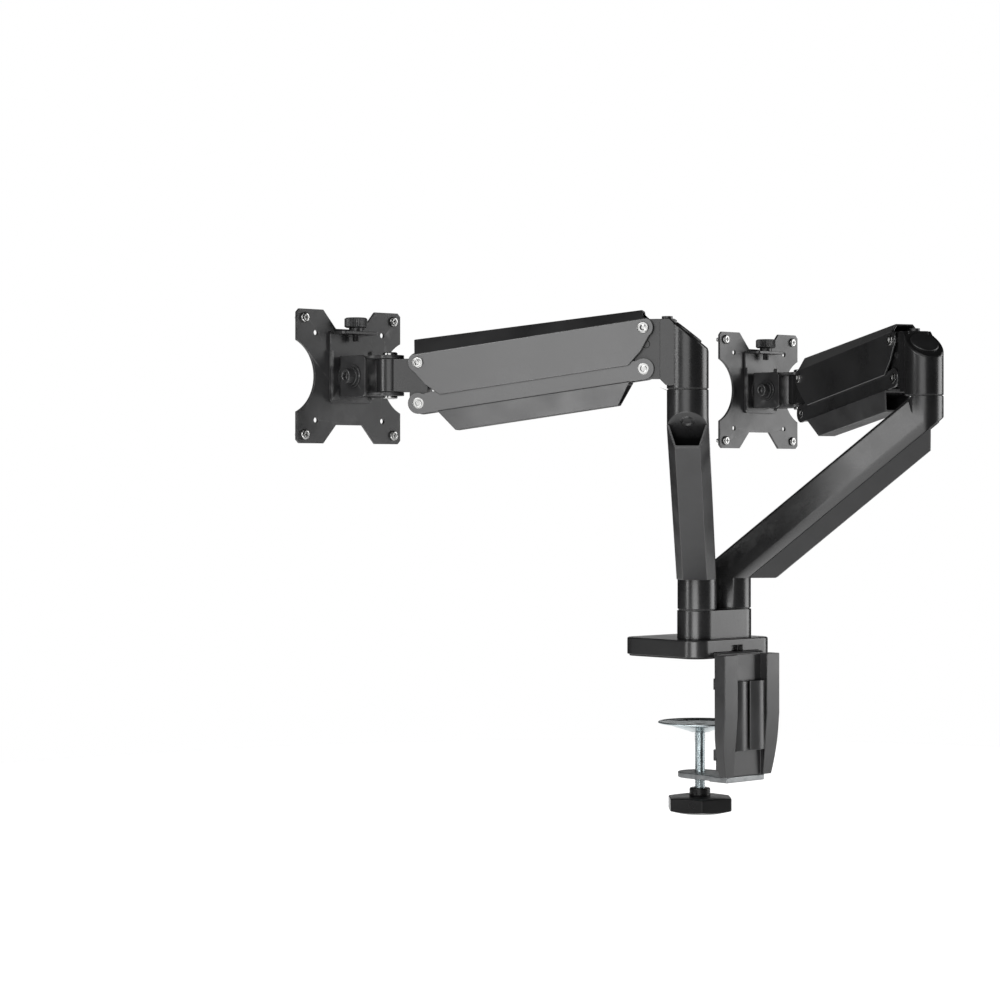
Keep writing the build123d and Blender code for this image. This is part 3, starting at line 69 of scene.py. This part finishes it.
# ---------------------------------------------------------------- materials
class Finish:
    """A node material under construction, in each piece's own coordinates."""

    def __init__(self, name, metallic=0.0, ior=1.5, specular=0.5):
        self.material = bpy.data.materials.new(name)
        self.material.use_nodes = True
        self.tree = self.material.node_tree
        self.shader = self.tree.nodes["Principled BSDF"]
        self.shader.inputs["Metallic"].default_value = metallic
        self.shader.inputs["IOR"].default_value = ior
        self.shader.inputs["Specular IOR Level"].default_value = specular
        self.coords = self.node("ShaderNodeTexCoord").outputs["Object"]
        self.relief = None

    def node(self, kind, **settings):
        made = self.tree.nodes.new(kind)
        for key, value in settings.items():
            setattr(made, key, value)
        return made

    def link(self, source, target):
        self.tree.links.new(source, target)

    def stretched(self, scale):
        """Object coordinates stretched by three factors."""
        mapping = self.node("ShaderNodeMapping")
        mapping.inputs["Scale"].default_value = scale
        self.link(self.coords, mapping.inputs["Vector"])
        return mapping.outputs["Vector"]

    def noise(self, size_mm, detail=2.0, roughness=0.5, coords=None):
        """Noise whose grain is about size_mm across."""
        made = self.node("ShaderNodeTexNoise")
        made.inputs["Scale"].default_value = 1.0 / (size_mm * MM)
        made.inputs["Detail"].default_value = detail
        made.inputs["Roughness"].default_value = roughness
        self.link(coords or self.coords, made.inputs["Vector"])
        return made.outputs["Fac"]

    def cells(self, size_mm, feature="F1"):
        made = self.node("ShaderNodeTexVoronoi", feature=feature)
        made.inputs["Scale"].default_value = 1.0 / (size_mm * MM)
        self.link(self.coords, made.inputs["Vector"])
        return made.outputs["Distance"]

    def ramp(self, value, *stops):
        made = self.node("ShaderNodeValToRGB")
        elements = made.color_ramp.elements
        while len(elements) < len(stops):
            elements.new(0.5)
        for element, (place, colour) in zip(elements, stops):
            element.position = place
            element.color = (*colour, 1.0) if len(colour) == 3 else colour
        self.link(value, made.inputs["Fac"])
        return made.outputs["Color"]

    def spread(self, value, low, high, start=0.3, end=0.7):
        """Maps start..end of a value to low..high."""
        made = self.node("ShaderNodeMapRange")
        for socket, number in zip(("From Min", "From Max", "To Min", "To Max"), (start, end, low, high)):
            made.inputs[socket].default_value = number
        self.link(value, made.inputs["Value"])
        return made.outputs["Result"]

    def colour(self, value, *stops):
        self.link(self.ramp(value, *stops), self.shader.inputs["Base Color"])

    def rough(self, value, low, high):
        self.link(self.spread(value, low, high), self.shader.inputs["Roughness"])

    def edge_wear(self, base, worn, amount=0.6):
        """Lightens sharp corners in patches, as handling does."""
        patches = self.spread(self.noise(9, 4), 0.0, amount, 0.42, 0.62)
        corner = self.spread(self.node("ShaderNodeNewGeometry").outputs["Pointiness"], 0.0, 1.0, 0.53, 0.60)
        share = self.node("ShaderNodeMath", operation="MULTIPLY", use_clamp=True)
        self.link(patches, share.inputs[0])
        self.link(corner, share.inputs[1])
        blend = self.node("ShaderNodeMix", data_type="RGBA")
        self.link(share.outputs["Value"], blend.inputs["Factor"])
        self.link(base, blend.inputs[6])
        blend.inputs[7].default_value = (*worn, 1.0)
        self.link(blend.outputs[2], self.shader.inputs["Base Color"])

    def bump(self, height, depth_mm, strength=1.0):
        """Adds a layer of relief, depth_mm deep."""
        made = self.node("ShaderNodeBump")
        made.inputs["Strength"].default_value = strength
        made.inputs["Distance"].default_value = depth_mm * MM
        self.link(height, made.inputs["Height"])
        if self.relief is not None:
            self.link(self.relief, made.inputs["Normal"])
        self.relief = made.outputs["Normal"]
        self.link(self.relief, self.shader.inputs["Normal"])


def grey(value, tint=0.0):
    return (value, value, value * (1 + tint))


def powder_coat(name, dark, light, rough, peel_mm, specular=0.5):
    """Matte powder coat: orange peel, fine speckle and cloudy gloss."""
    made = Finish(name, specular=specular)
    cloud, peel, speckle = made.noise(38, 3), made.noise(peel_mm, 2), made.noise(0.32, 1)
    mix = made.node("ShaderNodeMix", data_type="FLOAT")
    mix.inputs["Factor"].default_value = 0.45
    made.link(cloud, mix.inputs["A"])
    made.link(speckle, mix.inputs["B"])
    blend = mix.outputs["Result"]
    coat = made.ramp(blend, (0.34, grey(dark, 0.03)), (0.66, grey(light, 0.03)))
    made.edge_wear(coat, grey(light * 3))
    made.rough(blend, rough - 0.05, rough + 0.07)
    made.bump(peel, 0.05, 0.32)
    made.bump(speckle, 0.02, 0.30)
    return made.material


def moulded_plastic(name, dark, light, rough, grain_mm, specular=0.5):
    """Spark-eroded mould grain."""
    made = Finish(name, ior=1.49, specular=specular)
    grain, cloud = made.cells(grain_mm), made.noise(25, 3)
    made.colour(cloud, (0.35, grey(dark, 0.04)), (0.65, grey(light, 0.04)))
    made.rough(cloud, rough - 0.05, rough + 0.06)
    made.bump(grain, 0.035, 0.45)
    made.bump(made.noise(grain_mm * 2.6, 2), 0.03, 0.30)
    return made.material


def coated_steel(name, dark, light, rough):
    """Satin black coated sheet, with faint rolling marks under the coat."""
    made = Finish(name, specular=0.5)
    cloud = made.noise(22, 4)
    lines = made.noise(1.0, 2, coords=made.stretched((0.12, 1.0, 1.0)))
    coat = made.ramp(cloud, (0.33, grey(dark, 0.03)), (0.68, grey(light, 0.03)))
    made.edge_wear(coat, grey(light * 4), 0.8)
    made.rough(cloud, rough - 0.06, rough + 0.08)
    made.bump(lines, 0.012, 0.25)
    made.bump(made.noise(0.5, 1), 0.012, 0.25)
    return made.material


def rubber(name):
    made = Finish(name, ior=1.52, specular=0.3)
    made.colour(made.noise(6, 4), (0.3, grey(0.012)), (0.7, grey(0.024)))
    made.rough(made.noise(3, 3), 0.78, 0.92)
    made.bump(made.cells(0.8), 0.08, 0.5)
    return made.material


def nylon(name):
    made = Finish(name, ior=1.53)
    made.colour(made.noise(4, 2), (0.3, grey(0.045)), (0.7, grey(0.07)))
    made.rough(made.noise(1.5, 2), 0.35, 0.5)
    return made.material


def plated_steel(name, dark, light, rough, cloud_mm, scratch_depth=0.006):
    """Zinc or nickel plate: crystalline clouds, soft scratches and uneven gloss."""
    made = Finish(name, metallic=1.0, ior=2.5)
    clouds, flakes = made.noise(cloud_mm, 4, 0.62), made.cells(cloud_mm * 0.45)
    mix = made.node("ShaderNodeMix", data_type="FLOAT")
    mix.inputs["Factor"].default_value = 0.35
    made.link(clouds, mix.inputs["A"])
    made.link(flakes, mix.inputs["B"])
    made.colour(mix.outputs["Result"], (0.25, dark), (0.62, light))
    made.rough(clouds, rough - 0.07, rough + 0.10)
    scratches = made.noise(0.9, 3, coords=made.stretched((1.0, 0.14, 0.6)))
    made.bump(scratches, scratch_depth, 0.5)
    made.bump(made.noise(1.3, 2), 0.01, 0.25)
    return made.material


MATERIALS = {
    "black_cast": powder_coat("powder_coat_cast", 0.007, 0.012, 0.28, 1.5),
    "black_powder_coat": powder_coat("powder_coat_sheet", 0.011, 0.018, 0.30, 1.2, specular=1.0),
    "black_steel": coated_steel("coated_steel", 0.012, 0.022, 0.36),
    "black_plastic": moulded_plastic("moulded_plastic", 0.010, 0.016, 0.34, 0.45),
    "knob_plastic": moulded_plastic("knob_plastic", 0.002, 0.004, 0.30, 0.35, specular=0.14),
    "rubber_pad": rubber("rubber_pad"),
    "nylon_washer": nylon("nylon_washer"),
    "zinc_steel": plated_steel("zinc_plate", (0.33, 0.375, 0.385), (0.47, 0.52, 0.535), 0.30, 7),
    "grey_steel": plated_steel("dull_zinc_plate", (0.15, 0.156, 0.16), (0.22, 0.227, 0.23), 0.40, 11),
    "bright_screw": plated_steel("nickel_plate", (0.24, 0.24, 0.237), (0.33, 0.33, 0.325), 0.25, 3.0),
    "polished_rod": plated_steel("polished_rod", (0.66, 0.66, 0.67), (0.80, 0.80, 0.81), 0.14, 9, 0.002),
}
SLOT_NODES = {
    "black_cast": "base_cover post_block lower_arm elbow_knuckle head_knuckle",
    "black_powder_coat": "upper_channel lower_link",
    "black_steel": "clamp_bracket tension_screw gas_spring pan_bracket tilt_bracket tilt_bolt"
                   " rotation_rivet quick_plate thumb_screw vesa_plate",
    "black_plastic": "clamp_cover arm_cable_cover knuckle_cap under_cover",
    "knob_plastic": "clamp_knob",
    "rubber_pad": "desk_pad",
    "nylon_washer": "post_washers elbow_washer",
    "zinc_steel": "post_pins elbow_pins clamp_screw clamp_pad",
    "grey_steel": "clamp_jaw",
    "bright_screw": "stand_bolts upper_pivot_pins lower_pivot_pins pan_pin vesa_screws",
    "polished_rod": "gas_rod",
}
SLOT_OF = {node: slot for slot, names in SLOT_NODES.items() for node in names.split()}


def kind_of(name):
    """The node's name without its side."""
    side, _, rest = name.partition("_")
    return rest if side in SIDES else name


# ---------------------------------------------------------------- mesh helpers
def add_piece(name, bm, slot, body, replaces=()):
    """Turns a bmesh into a smooth-shaded piece that rides on a body."""
    mesh = bpy.data.meshes.new(name)
    bm.normal_update()
    bm.to_mesh(mesh)
    bm.free()
    for face in mesh.polygons:
        face.use_smooth = True
    piece = bpy.data.objects.new(name, mesh)
    bpy.context.scene.collection.objects.link(piece)
    mesh.materials.append(MATERIALS[slot])
    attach(piece, body)
    if replaces:
        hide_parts(*replaces)
    return piece


def round_edges(piece, width_mm, segments=3, angle=28):
    """Small rounding along every crease, with flat faces kept flat in shading."""
    bevel = piece.modifiers.new("edge_round", "BEVEL")
    bevel.width = width_mm * MM
    bevel.segments = segments
    marked = "bevel_weight_edge" in piece.data.attributes
    bevel.limit_method = "WEIGHT" if marked else "ANGLE"
    bevel.angle_limit = radians(angle)
    bevel.use_clamp_overlap = False
    bevel.miter_outer = "MITER_ARC"
    bevel.loop_slide = True
    normals = piece.modifiers.new("face_normals", "WEIGHTED_NORMAL")
    normals.mode = "FACE_AREA"
    normals.weight = 100
    normals.keep_sharp = True
    return piece


def node_bmesh(name):
    """A CAD node's mesh with its doubled seams welded and coplanar faces merged."""
    bm = bmesh.new()
    bm.from_mesh(NODES[name].data)
    for face in bm.faces:
        face.smooth = True
    bmesh.ops.remove_doubles(bm, verts=bm.verts, dist=2e-6)
    bmesh.ops.dissolve_limit(bm, angle_limit=radians(0.6), verts=bm.verts, edges=bm.edges)
    return bm


def mark_creases(bm, level, angle=28):
    """Marks the creases to round, without those at one level, where a ledge narrows to nothing."""
    weight = bm.edges.layers.float.new("bevel_weight_edge")
    for edge in bm.edges:
        on_ledge = all(abs(v.co.z - level) < 0.05 * MM for v in edge.verts)
        crease = edge.calc_face_angle(0.0) > radians(angle)
        edge[weight] = float(crease and not on_ledge)
        edge.smooth = not (crease and on_ledge)


def hexagon(radius):
    """Radius of a hexagon, corner to middle given, at an angle."""
    return lambda angle: radius * cos(pi / 6) / cos(angle % (pi / 3) - pi / 6)


def cross_slot(length, width):
    """Radius of a cross recess with arms of a half length and half width."""
    def radius(angle):
        off = abs((angle + pi / 4) % (pi / 2) - pi / 4)
        return length / cos(off) if sin(off) * length <= width * cos(off) else width / sin(off)
    return radius


def knurl(radius, teeth, depth):
    return lambda angle: radius - depth * (0.5 - 0.5 * cos(teeth * angle))


def turned(bm, rings, at, axis=(0, 0, 1), segments=48):
    """Adds a closed solid of rings in mm, stacked along an axis from a point.

    A ring is a height and a radius, or a function that gives the radius at an angle.
    """
    turn = Vector(axis).to_track_quat("Z", "Y").to_matrix()
    base = Vector(at)
    loops = []
    for height, radius in rings:
        loop = []
        for k in range(segments):
            angle = 2 * pi * k / segments
            r = radius(angle) if callable(radius) else radius
            loop.append(bm.verts.new(base + turn @ Vector((r * cos(angle), r * sin(angle), height)) * MM))
        loops.append(loop)
    for low, high in zip(loops, loops[1:]):
        for k in range(segments):
            n = (k + 1) % segments
            bm.faces.new((low[k], low[n], high[n], high[k]))
    bm.faces.new(reversed(loops[0]))
    bm.faces.new(loops[-1])


def threaded(bm, low, high, radius, depth, pitch, at, axis=(0, 0, 1), segments=24):
    """Adds a helical thread between two heights in mm, cut square at both ends."""
    profile = (0.0, 0.12, 1.0, 0.88)
    steps = len(profile)
    rod = bmesh.new()
    rows = (ceil((high - low) / pitch) + 3) * steps
    columns = []
    for j in range(segments):
        angle = 2 * pi * j / segments
        column = []
        for k in range(rows + 1):
            r = radius - depth * profile[k % steps]
            z = low - 1.5 * pitch + pitch * (k / steps + j / segments)
            column.append(rod.verts.new(Vector((r * cos(angle), r * sin(angle), z)) * MM))
        columns.append(column)
    for j in range(segments):
        shift = steps if j == segments - 1 else 0
        here, there = columns[j], columns[(j + 1) % segments]
        for k in range(rows - shift):
            rod.faces.new((here[k], there[k + shift], there[k + shift + 1], here[k + 1]))
    for height, side in ((low, -1), (high, 1)):
        everything = rod.verts[:] + rod.edges[:] + rod.faces[:]
        bmesh.ops.bisect_plane(rod, geom=everything, plane_co=(0, 0, height * MM), plane_no=(0, 0, side),
                               clear_outer=True)
        rim = [e for e in rod.edges if all(abs(v.co.z - height * MM) < 1e-7 for v in e.verts)]
        bmesh.ops.contextual_create(rod, geom=rim)
    place = Matrix.Translation(Vector(at)) @ Vector(axis).to_track_quat("Z", "Y").to_matrix().to_4x4()
    rod.transform(place)
    mesh = bpy.data.meshes.new("thread")
    rod.to_mesh(mesh)
    rod.free()
    bm.from_mesh(mesh)
    bpy.data.meshes.remove(mesh)


def joint_at(name):
    return Vector(JOINTS[name]["pos_m"])


def joint_axis(name):
    return Vector(JOINTS[name]["axis"]).normalized()


def off_axis(point, spot, axis):
    """Distance of a point from the axis through a spot."""
    arm = point - spot
    return (arm - axis * arm.dot(axis)).length


def upright_axis(low, high):
    """Foot of the upright line through the middle of a box."""
    return Vector(((low.x + high.x) / 2, (low.y + high.y) / 2, 0))


detailed = set()


def detail(name, bm, edge_mm=0.12, segments=2):
    """Puts a detailed piece in the place of a CAD node."""
    piece = add_piece(name + "_detail", bm, SLOT_OF[kind_of(name)], BODY_OF[name], [name])
    round_edges(piece, edge_mm, segments, angle=35)
    detailed.add(name)
    return piece


# ---------------------------------------------------------------- clamp
low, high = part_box("clamp_screw")
screw_axis = upright_axis(low, high)
THREAD_DEPTH, THREAD_PITCH = 0.75, 1.5
bm = bmesh.new()
threaded(bm, low.z / MM, high.z / MM, (high.x - low.x) / 2 / MM, THREAD_DEPTH, THREAD_PITCH, screw_axis)
detail("clamp_screw", bm, 0.05, 1)

low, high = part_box("clamp_pad")
bottom, top, rim = low.z / MM, high.z / MM, (high.x - low.x) / 2 / MM
bm = bmesh.new()
collar_and_dish = [(top - 5.0, 4.9), (bottom, 4.9), (bottom, 9.2), (bottom + 0.5, 10.0),
                   (top - 4.6, 24.2), (top - 3.4, 26.6), (top - 2.2, 29.0), (top - 1.8, 31.0)]
rolled_rim = [(top - 1.8, rim - 1.2), (top - 1.5, rim - 0.3), (top - 1.0, rim), (top - 0.5, rim - 0.1),
              (top, rim - 0.7), (top, rim - 2.2), (top - 0.6, rim - 3.6)]
top_face = [(top - 0.6, 30.0), (top - 1.5, 26.5), (top - 1.5, 8.0), (top - 1.2, 6.5), (top - 1.2, 2.0)]
turned(bm, collar_and_dish + rolled_rim + top_face, screw_axis, segments=96)
detail("clamp_pad", bm, 0.1, 2)

# ---------------------------------------------------------------- both arms' fasteners
CHANNEL_HALF, LINK_HALF = 15.0, 12.6     # half widths, in mm, that the pivot pins' heads sit on
UPPER_HEAD, LOWER_HEAD = 1.6, 0.3        # how far those heads stand out
PIN_REACH = 6                            # nothing but the pin lies this near its axis
PLATE_SCREW_R = 4.4

for side in SIDES:
    near, far = joint_at(f"{side}_lift"), joint_at(f"{side}_head_level")
    below = joint_at(f"{side}_lower_link_lift")
    across = joint_axis(f"{side}_lift")

    # pivot pins: domed heads with a hex socket on both sides of each link
    for node, spots, seat, head in (
            ("upper_pivot_pins", (near, far), CHANNEL_HALF, UPPER_HEAD),
            ("lower_pivot_pins", (below, below + far - near), LINK_HALF, LOWER_HEAD)):
        bm = node_bmesh(f"{side}_{node}")
        doomed = [v for v in bm.verts if any(
            abs((v.co - spot).dot(across)) > (seat - 2.6) * MM
            and off_axis(v.co, spot, across) < PIN_REACH * MM for spot in spots)]
        bmesh.ops.delete(bm, geom=doomed, context="VERTS")
        loose = [f for f in bm.faces if any(
            off_axis(v.co, spot, across) < PIN_REACH * MM for spot in spots for v in f.verts)]
        bmesh.ops.delete(bm, geom=loose, context="FACES")
        for spot in spots:
            turned(bm, [(-seat + 0.4, 2.98), (seat - 0.4, 2.98)], spot, across, 32)
            for way in (-1, 1):
                dome = [(seat - 1.4, 2.9), (seat + 0.02, 2.9), (seat + 0.02, 4.75),
                        (seat + head * 0.55, 4.8), (seat + head * 0.85, 4.6), (seat + head, 4.1)]
                socket = [(seat + head, 2.9), (seat + head - 0.12, 2.65),
                          (seat + head - 0.15, hexagon(2.35)), (seat + head - 1.3, hexagon(2.3)),
                          (seat + head - 1.5, 1.2)]
                turned(bm, dome + socket, spot, across * way, 48)
        detail(f"{side}_{node}", bm, 0.08, 1)

    # pan pin: broad rounded heads above and below the ears
    low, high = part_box(f"{side}_pan_pin")
    bottom, top = low.z / MM, high.z / MM
    bm = bmesh.new()
    lower_head = [(bottom + 0.4, 3.0), (bottom, 3.4), (bottom, 5.0), (bottom + 0.35, 6.0),
                  (bottom + 0.9, 6.4), (bottom + 2.6, 6.4), (bottom + 2.6, 4.0)]
    upper_head = [(top - 2.6, 4.0), (top - 2.6, 6.4), (top - 0.9, 6.4), (top - 0.35, 6.0), (top, 5.0)]
    socket = [(top, 3.5), (top - 0.2, hexagon(3.1)), (top - 1.8, hexagon(3.0)), (top - 2.1, 1.2)]
    turned(bm, lower_head + upper_head + socket, upright_axis(low, high))
    detail(f"{side}_pan_pin", bm, 0.08, 1)

    # tilt bolt: socket head, washers and nut across the tilt bracket
    hub = joint_at(f"{side}_tilt")
    low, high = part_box(f"{side}_tilt_bolt")
    head_end, nut_end = (high.x - hub.x) / MM, (hub.x - low.x) / MM
    bm = bmesh.new()
    turned(bm, [(-15.0, 3.9), (15.0, 3.9)], hub, (1, 0, 0))
    for way in (-1, 1):
        axis = (way, 0, 0)
        broad = [(16.52, 4.2), (16.52, 9.8), (16.75, 10.0), (17.8, 10.0), (18.0, 9.8), (18.0, 4.2)]
        narrow = [(18.05, 4.2), (18.05, 7.7), (18.3, 8.0), (19.7, 8.0), (19.95, 7.7), (19.95, 4.2)]
        turned(bm, broad, hub, axis, 64)
        turned(bm, narrow, hub, axis, 64)
    cap = [(19.9, 4.0), (20.0, 6.2), (20.3, 6.4), (head_end - 0.7, knurl(6.4, 30, 0.22)),
           (head_end - 0.2, 6.1), (head_end, 5.6)]
    socket = [(head_end, 4.2), (head_end - 0.3, hexagon(3.5)), (head_end - 3.4, hexagon(3.4)),
              (head_end - 3.9, 1.5)]
    turned(bm, cap + socket, hub, (1, 0, 0), 120)
    nut = [(20.0, 4.0), (20.05, 6.5), (20.5, hexagon(7.5)),
           (25.5, hexagon(7.5)), (25.95, 6.5), (26.0, 4.0)]
    turned(bm, nut, hub, (-1, 0, 0))
    threaded(bm, 25.0, nut_end - 0.4, 3.95, 0.55, 1.25, hub, (-1, 0, 0))
    turned(bm, [(nut_end - 0.45, 3.5), (nut_end, 3.0)], hub, (-1, 0, 0), 24)
    detail(f"{side}_tilt_bolt", bm, 0.08, 1)

    # thumbscrew: knurled head on a collar, threaded shank
    low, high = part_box(f"{side}_thumb_screw")
    knob_at = Vector(((low.x + high.x) / 2, joint_at(f"{side}_thumb_turn").y, 0))
    bottom, top = low.z / MM, high.z / MM
    grip = knurl(10.0, 40, 0.75)
    bm = bmesh.new()
    threaded(bm, bottom + 0.4, top - 11.5, 3.0, 0.45, 1.0, knob_at)
    turned(bm, [(bottom, 2.1), (bottom + 0.45, 2.55)], knob_at, segments=24)
    collar = [(top - 12.0, 3.0), (top - 12.0, 5.7), (top - 11.7, 6.0), (top - 9.0, 6.0), (top - 8.6, 6.4)]
    knob = [(top - 8.6, 8.6), (top - 8.1, 9.2), (top - 7.7, grip), (top - 1.0, grip), (top - 0.4, 9.1),
            (top, 8.4), (top, 6.2), (top - 0.5, 5.4), (top - 0.6, 1.0)]
    turned(bm, collar + knob, knob_at, segments=160)
    detail(f"{side}_thumb_screw", bm, 0.08, 1)

    # screen-plate screws: pan heads with a cross recess, necks and threaded studs
    low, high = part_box(f"{side}_vesa_screws")
    bm = bmesh.new()
    inset = PLATE_SCREW_R * MM
    neck_and_head = [(-4.95, 2.4), (-2.4, 2.5), (-2.4, 4.2), (-2.2, PLATE_SCREW_R), (-1.2, PLATE_SCREW_R),
                     (-0.55, 4.15), (-0.18, 3.55), (-0.02, 2.7), (0.0, 2.25)]
    recess = [(-0.05, cross_slot(2.1, 0.5)), (-1.2, cross_slot(1.7, 0.38)), (-1.5, 0.3)]
    for x in (low.x + inset, high.x - inset):
        for z in (low.z + inset, high.z - inset):
            at = Vector((x, high.y, z))
            turned(bm, neck_and_head + recess, at, (0, 1, 0), 64)
            threaded(bm, -13.4, -4.9, 2.0, 0.32, 0.7, at, (0, 1, 0))
            turned(bm, [(-13.9, 1.25), (-13.38, 1.66)], at, (0, 1, 0), 24)
    detail(f"{side}_vesa_screws", bm, 0.05, 1)

# ---------------------------------------------------------------- housings, links, brackets and plates
EDGE_MM = {
    "base_cover": 0.5, "post_block": 0.4, "lower_arm": 0.7, "elbow_knuckle": 0.5, "head_knuckle": 0.6,
    "upper_channel": 0.7, "lower_link": 0.5, "under_cover": 0.45, "arm_cable_cover": 0.5,
    "clamp_cover": 0.5, "clamp_bracket": 0.6, "clamp_jaw": 0.8, "clamp_knob": 0.9,
    "vesa_plate": 0.35, "quick_plate": 0.4, "tilt_bracket": 0.4, "pan_bracket": 0.5,
}
PLAIN_EDGE_MM = 0.25
SPRING_PIN_LEVEL = 25     # mm under the lift pivot: the spring's cross pin lies above, the elbow pin below
for name in sorted(set(NODES) - detailed):
    kind = kind_of(name)
    bm = node_bmesh(name)
    if kind == "lower_arm":
        mark_creases(bm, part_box(name.replace("lower_arm", "arm_cable_cover"))[0].z)
    piece = add_piece(name + "_body", bm, SLOT_OF[kind], BODY_OF[name], [name])
    if kind == "elbow_pins":
        # the spring's cross pin shows in the fork and is black like the castings round it
        piece.data.materials.append(MATERIALS["black_steel"])
        level = joint_at(name.split("_")[0] + "_lift").z - SPRING_PIN_LEVEL * MM
        for face in piece.data.polygons:
            face.material_index = int(face.center.z > level)
    round_edges(piece, EDGE_MM.get(kind, PLAIN_EDGE_MM))


# ---------------------------------------------------------------- stage, light, camera
STUDIO_MIDDLE = Vector((0.04, 0.0, 0.12))
FLOOR_RADIUS, FLOOR_GAP = 1.1, 0.0002


def area_light(name, azimuth, elevation, distance, width, height, radiance):
    """Soft box that looks at the middle of the object; angles in degrees, sizes in metres."""
    turn, tip = radians(azimuth), radians(elevation)
    outward = Vector((cos(turn) * cos(tip), sin(turn) * cos(tip), sin(tip)))
    data = bpy.data.lights.new(name, "AREA")
    data.shape = "RECTANGLE"
    data.size, data.size_y = width, height
    data.energy = radiance * width * height * pi
    light = bpy.data.objects.new(name, data)
    light.location = STUDIO_MIDDLE + outward * distance
    light.rotation_euler = outward.to_track_quat("Z", "Y").to_euler()
    light.visible_camera = False
    bpy.context.scene.collection.objects.link(light)


area_light("strip_left", -16, 6, 2.2, 0.34, 2.0, 9.5)
area_light("front_box", 34, 10, 2.6, 1.6, 1.5, 2.9)
area_light("right_box", 148, 8, 2.2, 1.3, 1.9, 4.6)
area_light("high_left", 10, 27, 2.3, 1.1, 0.6, 7.5)
area_light("high_front", 60, 52, 2.4, 1.4, 0.9, 1.6)
area_light("back_card", -141, 5, 2.8, 1.5, 0.4, 0.9)
area_light("far_box", 262, 30, 2.6, 1.8, 1.0, 0.2)
# small card near the floor that lights the springs' undersides
area_light("low_card", 32, -16, 0.62, 0.34, 0.16, 8.0)

# the floor lies under the knob's lowest place
ground_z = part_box("clamp_knob")[0].z + JOINTS["clamp_feed"]["range_m"][0]
bm = bmesh.new()
bmesh.ops.create_circle(bm, cap_ends=True, segments=96, radius=FLOOR_RADIUS, matrix=Matrix.Translation(
    (STUDIO_MIDDLE.x, STUDIO_MIDDLE.y, ground_z - FLOOR_GAP)))
mesh = bpy.data.meshes.new("studio_floor")
bm.to_mesh(mesh)
bm.free()
ground = bpy.data.objects.new("studio_floor", mesh)
bpy.context.scene.collection.objects.link(ground)
pale = Finish("pale_floor", specular=0.1)
pale.colour(pale.noise(1.5, 2), (0.3, grey(0.50)), (0.7, grey(0.54)))
pale.rough(pale.noise(2.0, 2), 0.75, 0.85)
pale.shader.inputs["Emission Color"].default_value = (1, 1, 1, 1)
pale.shader.inputs["Emission Strength"].default_value = 1.0
mesh.materials.append(pale.material)

world = bpy.data.worlds.new("studio")
bpy.context.scene.world = world
world.use_nodes = True
tree = world.node_tree
background = tree.nodes["Background"]
background.inputs["Color"].default_value = (1, 1, 1, 1)
background.inputs["Strength"].default_value = 1.0
world.cycles_visibility.glossy = False
world.cycles_visibility.diffuse = False

lens = bpy.data.cameras.new("camera")
lens.lens, lens.sensor_width = 99.6, 36.0
lens.shift_y = -0.0207
lens.clip_start, lens.clip_end = 0.05, 60
camera = bpy.data.objects.new("camera", lens)
camera.location = (1.855, 1.692, 0.160)
camera.rotation_euler = (radians(90), 0, radians(136.8))
bpy.context.scene.collection.objects.link(camera)
bpy.context.scene.camera = camera
bpy.context.scene.view_settings.view_transform = "Standard"
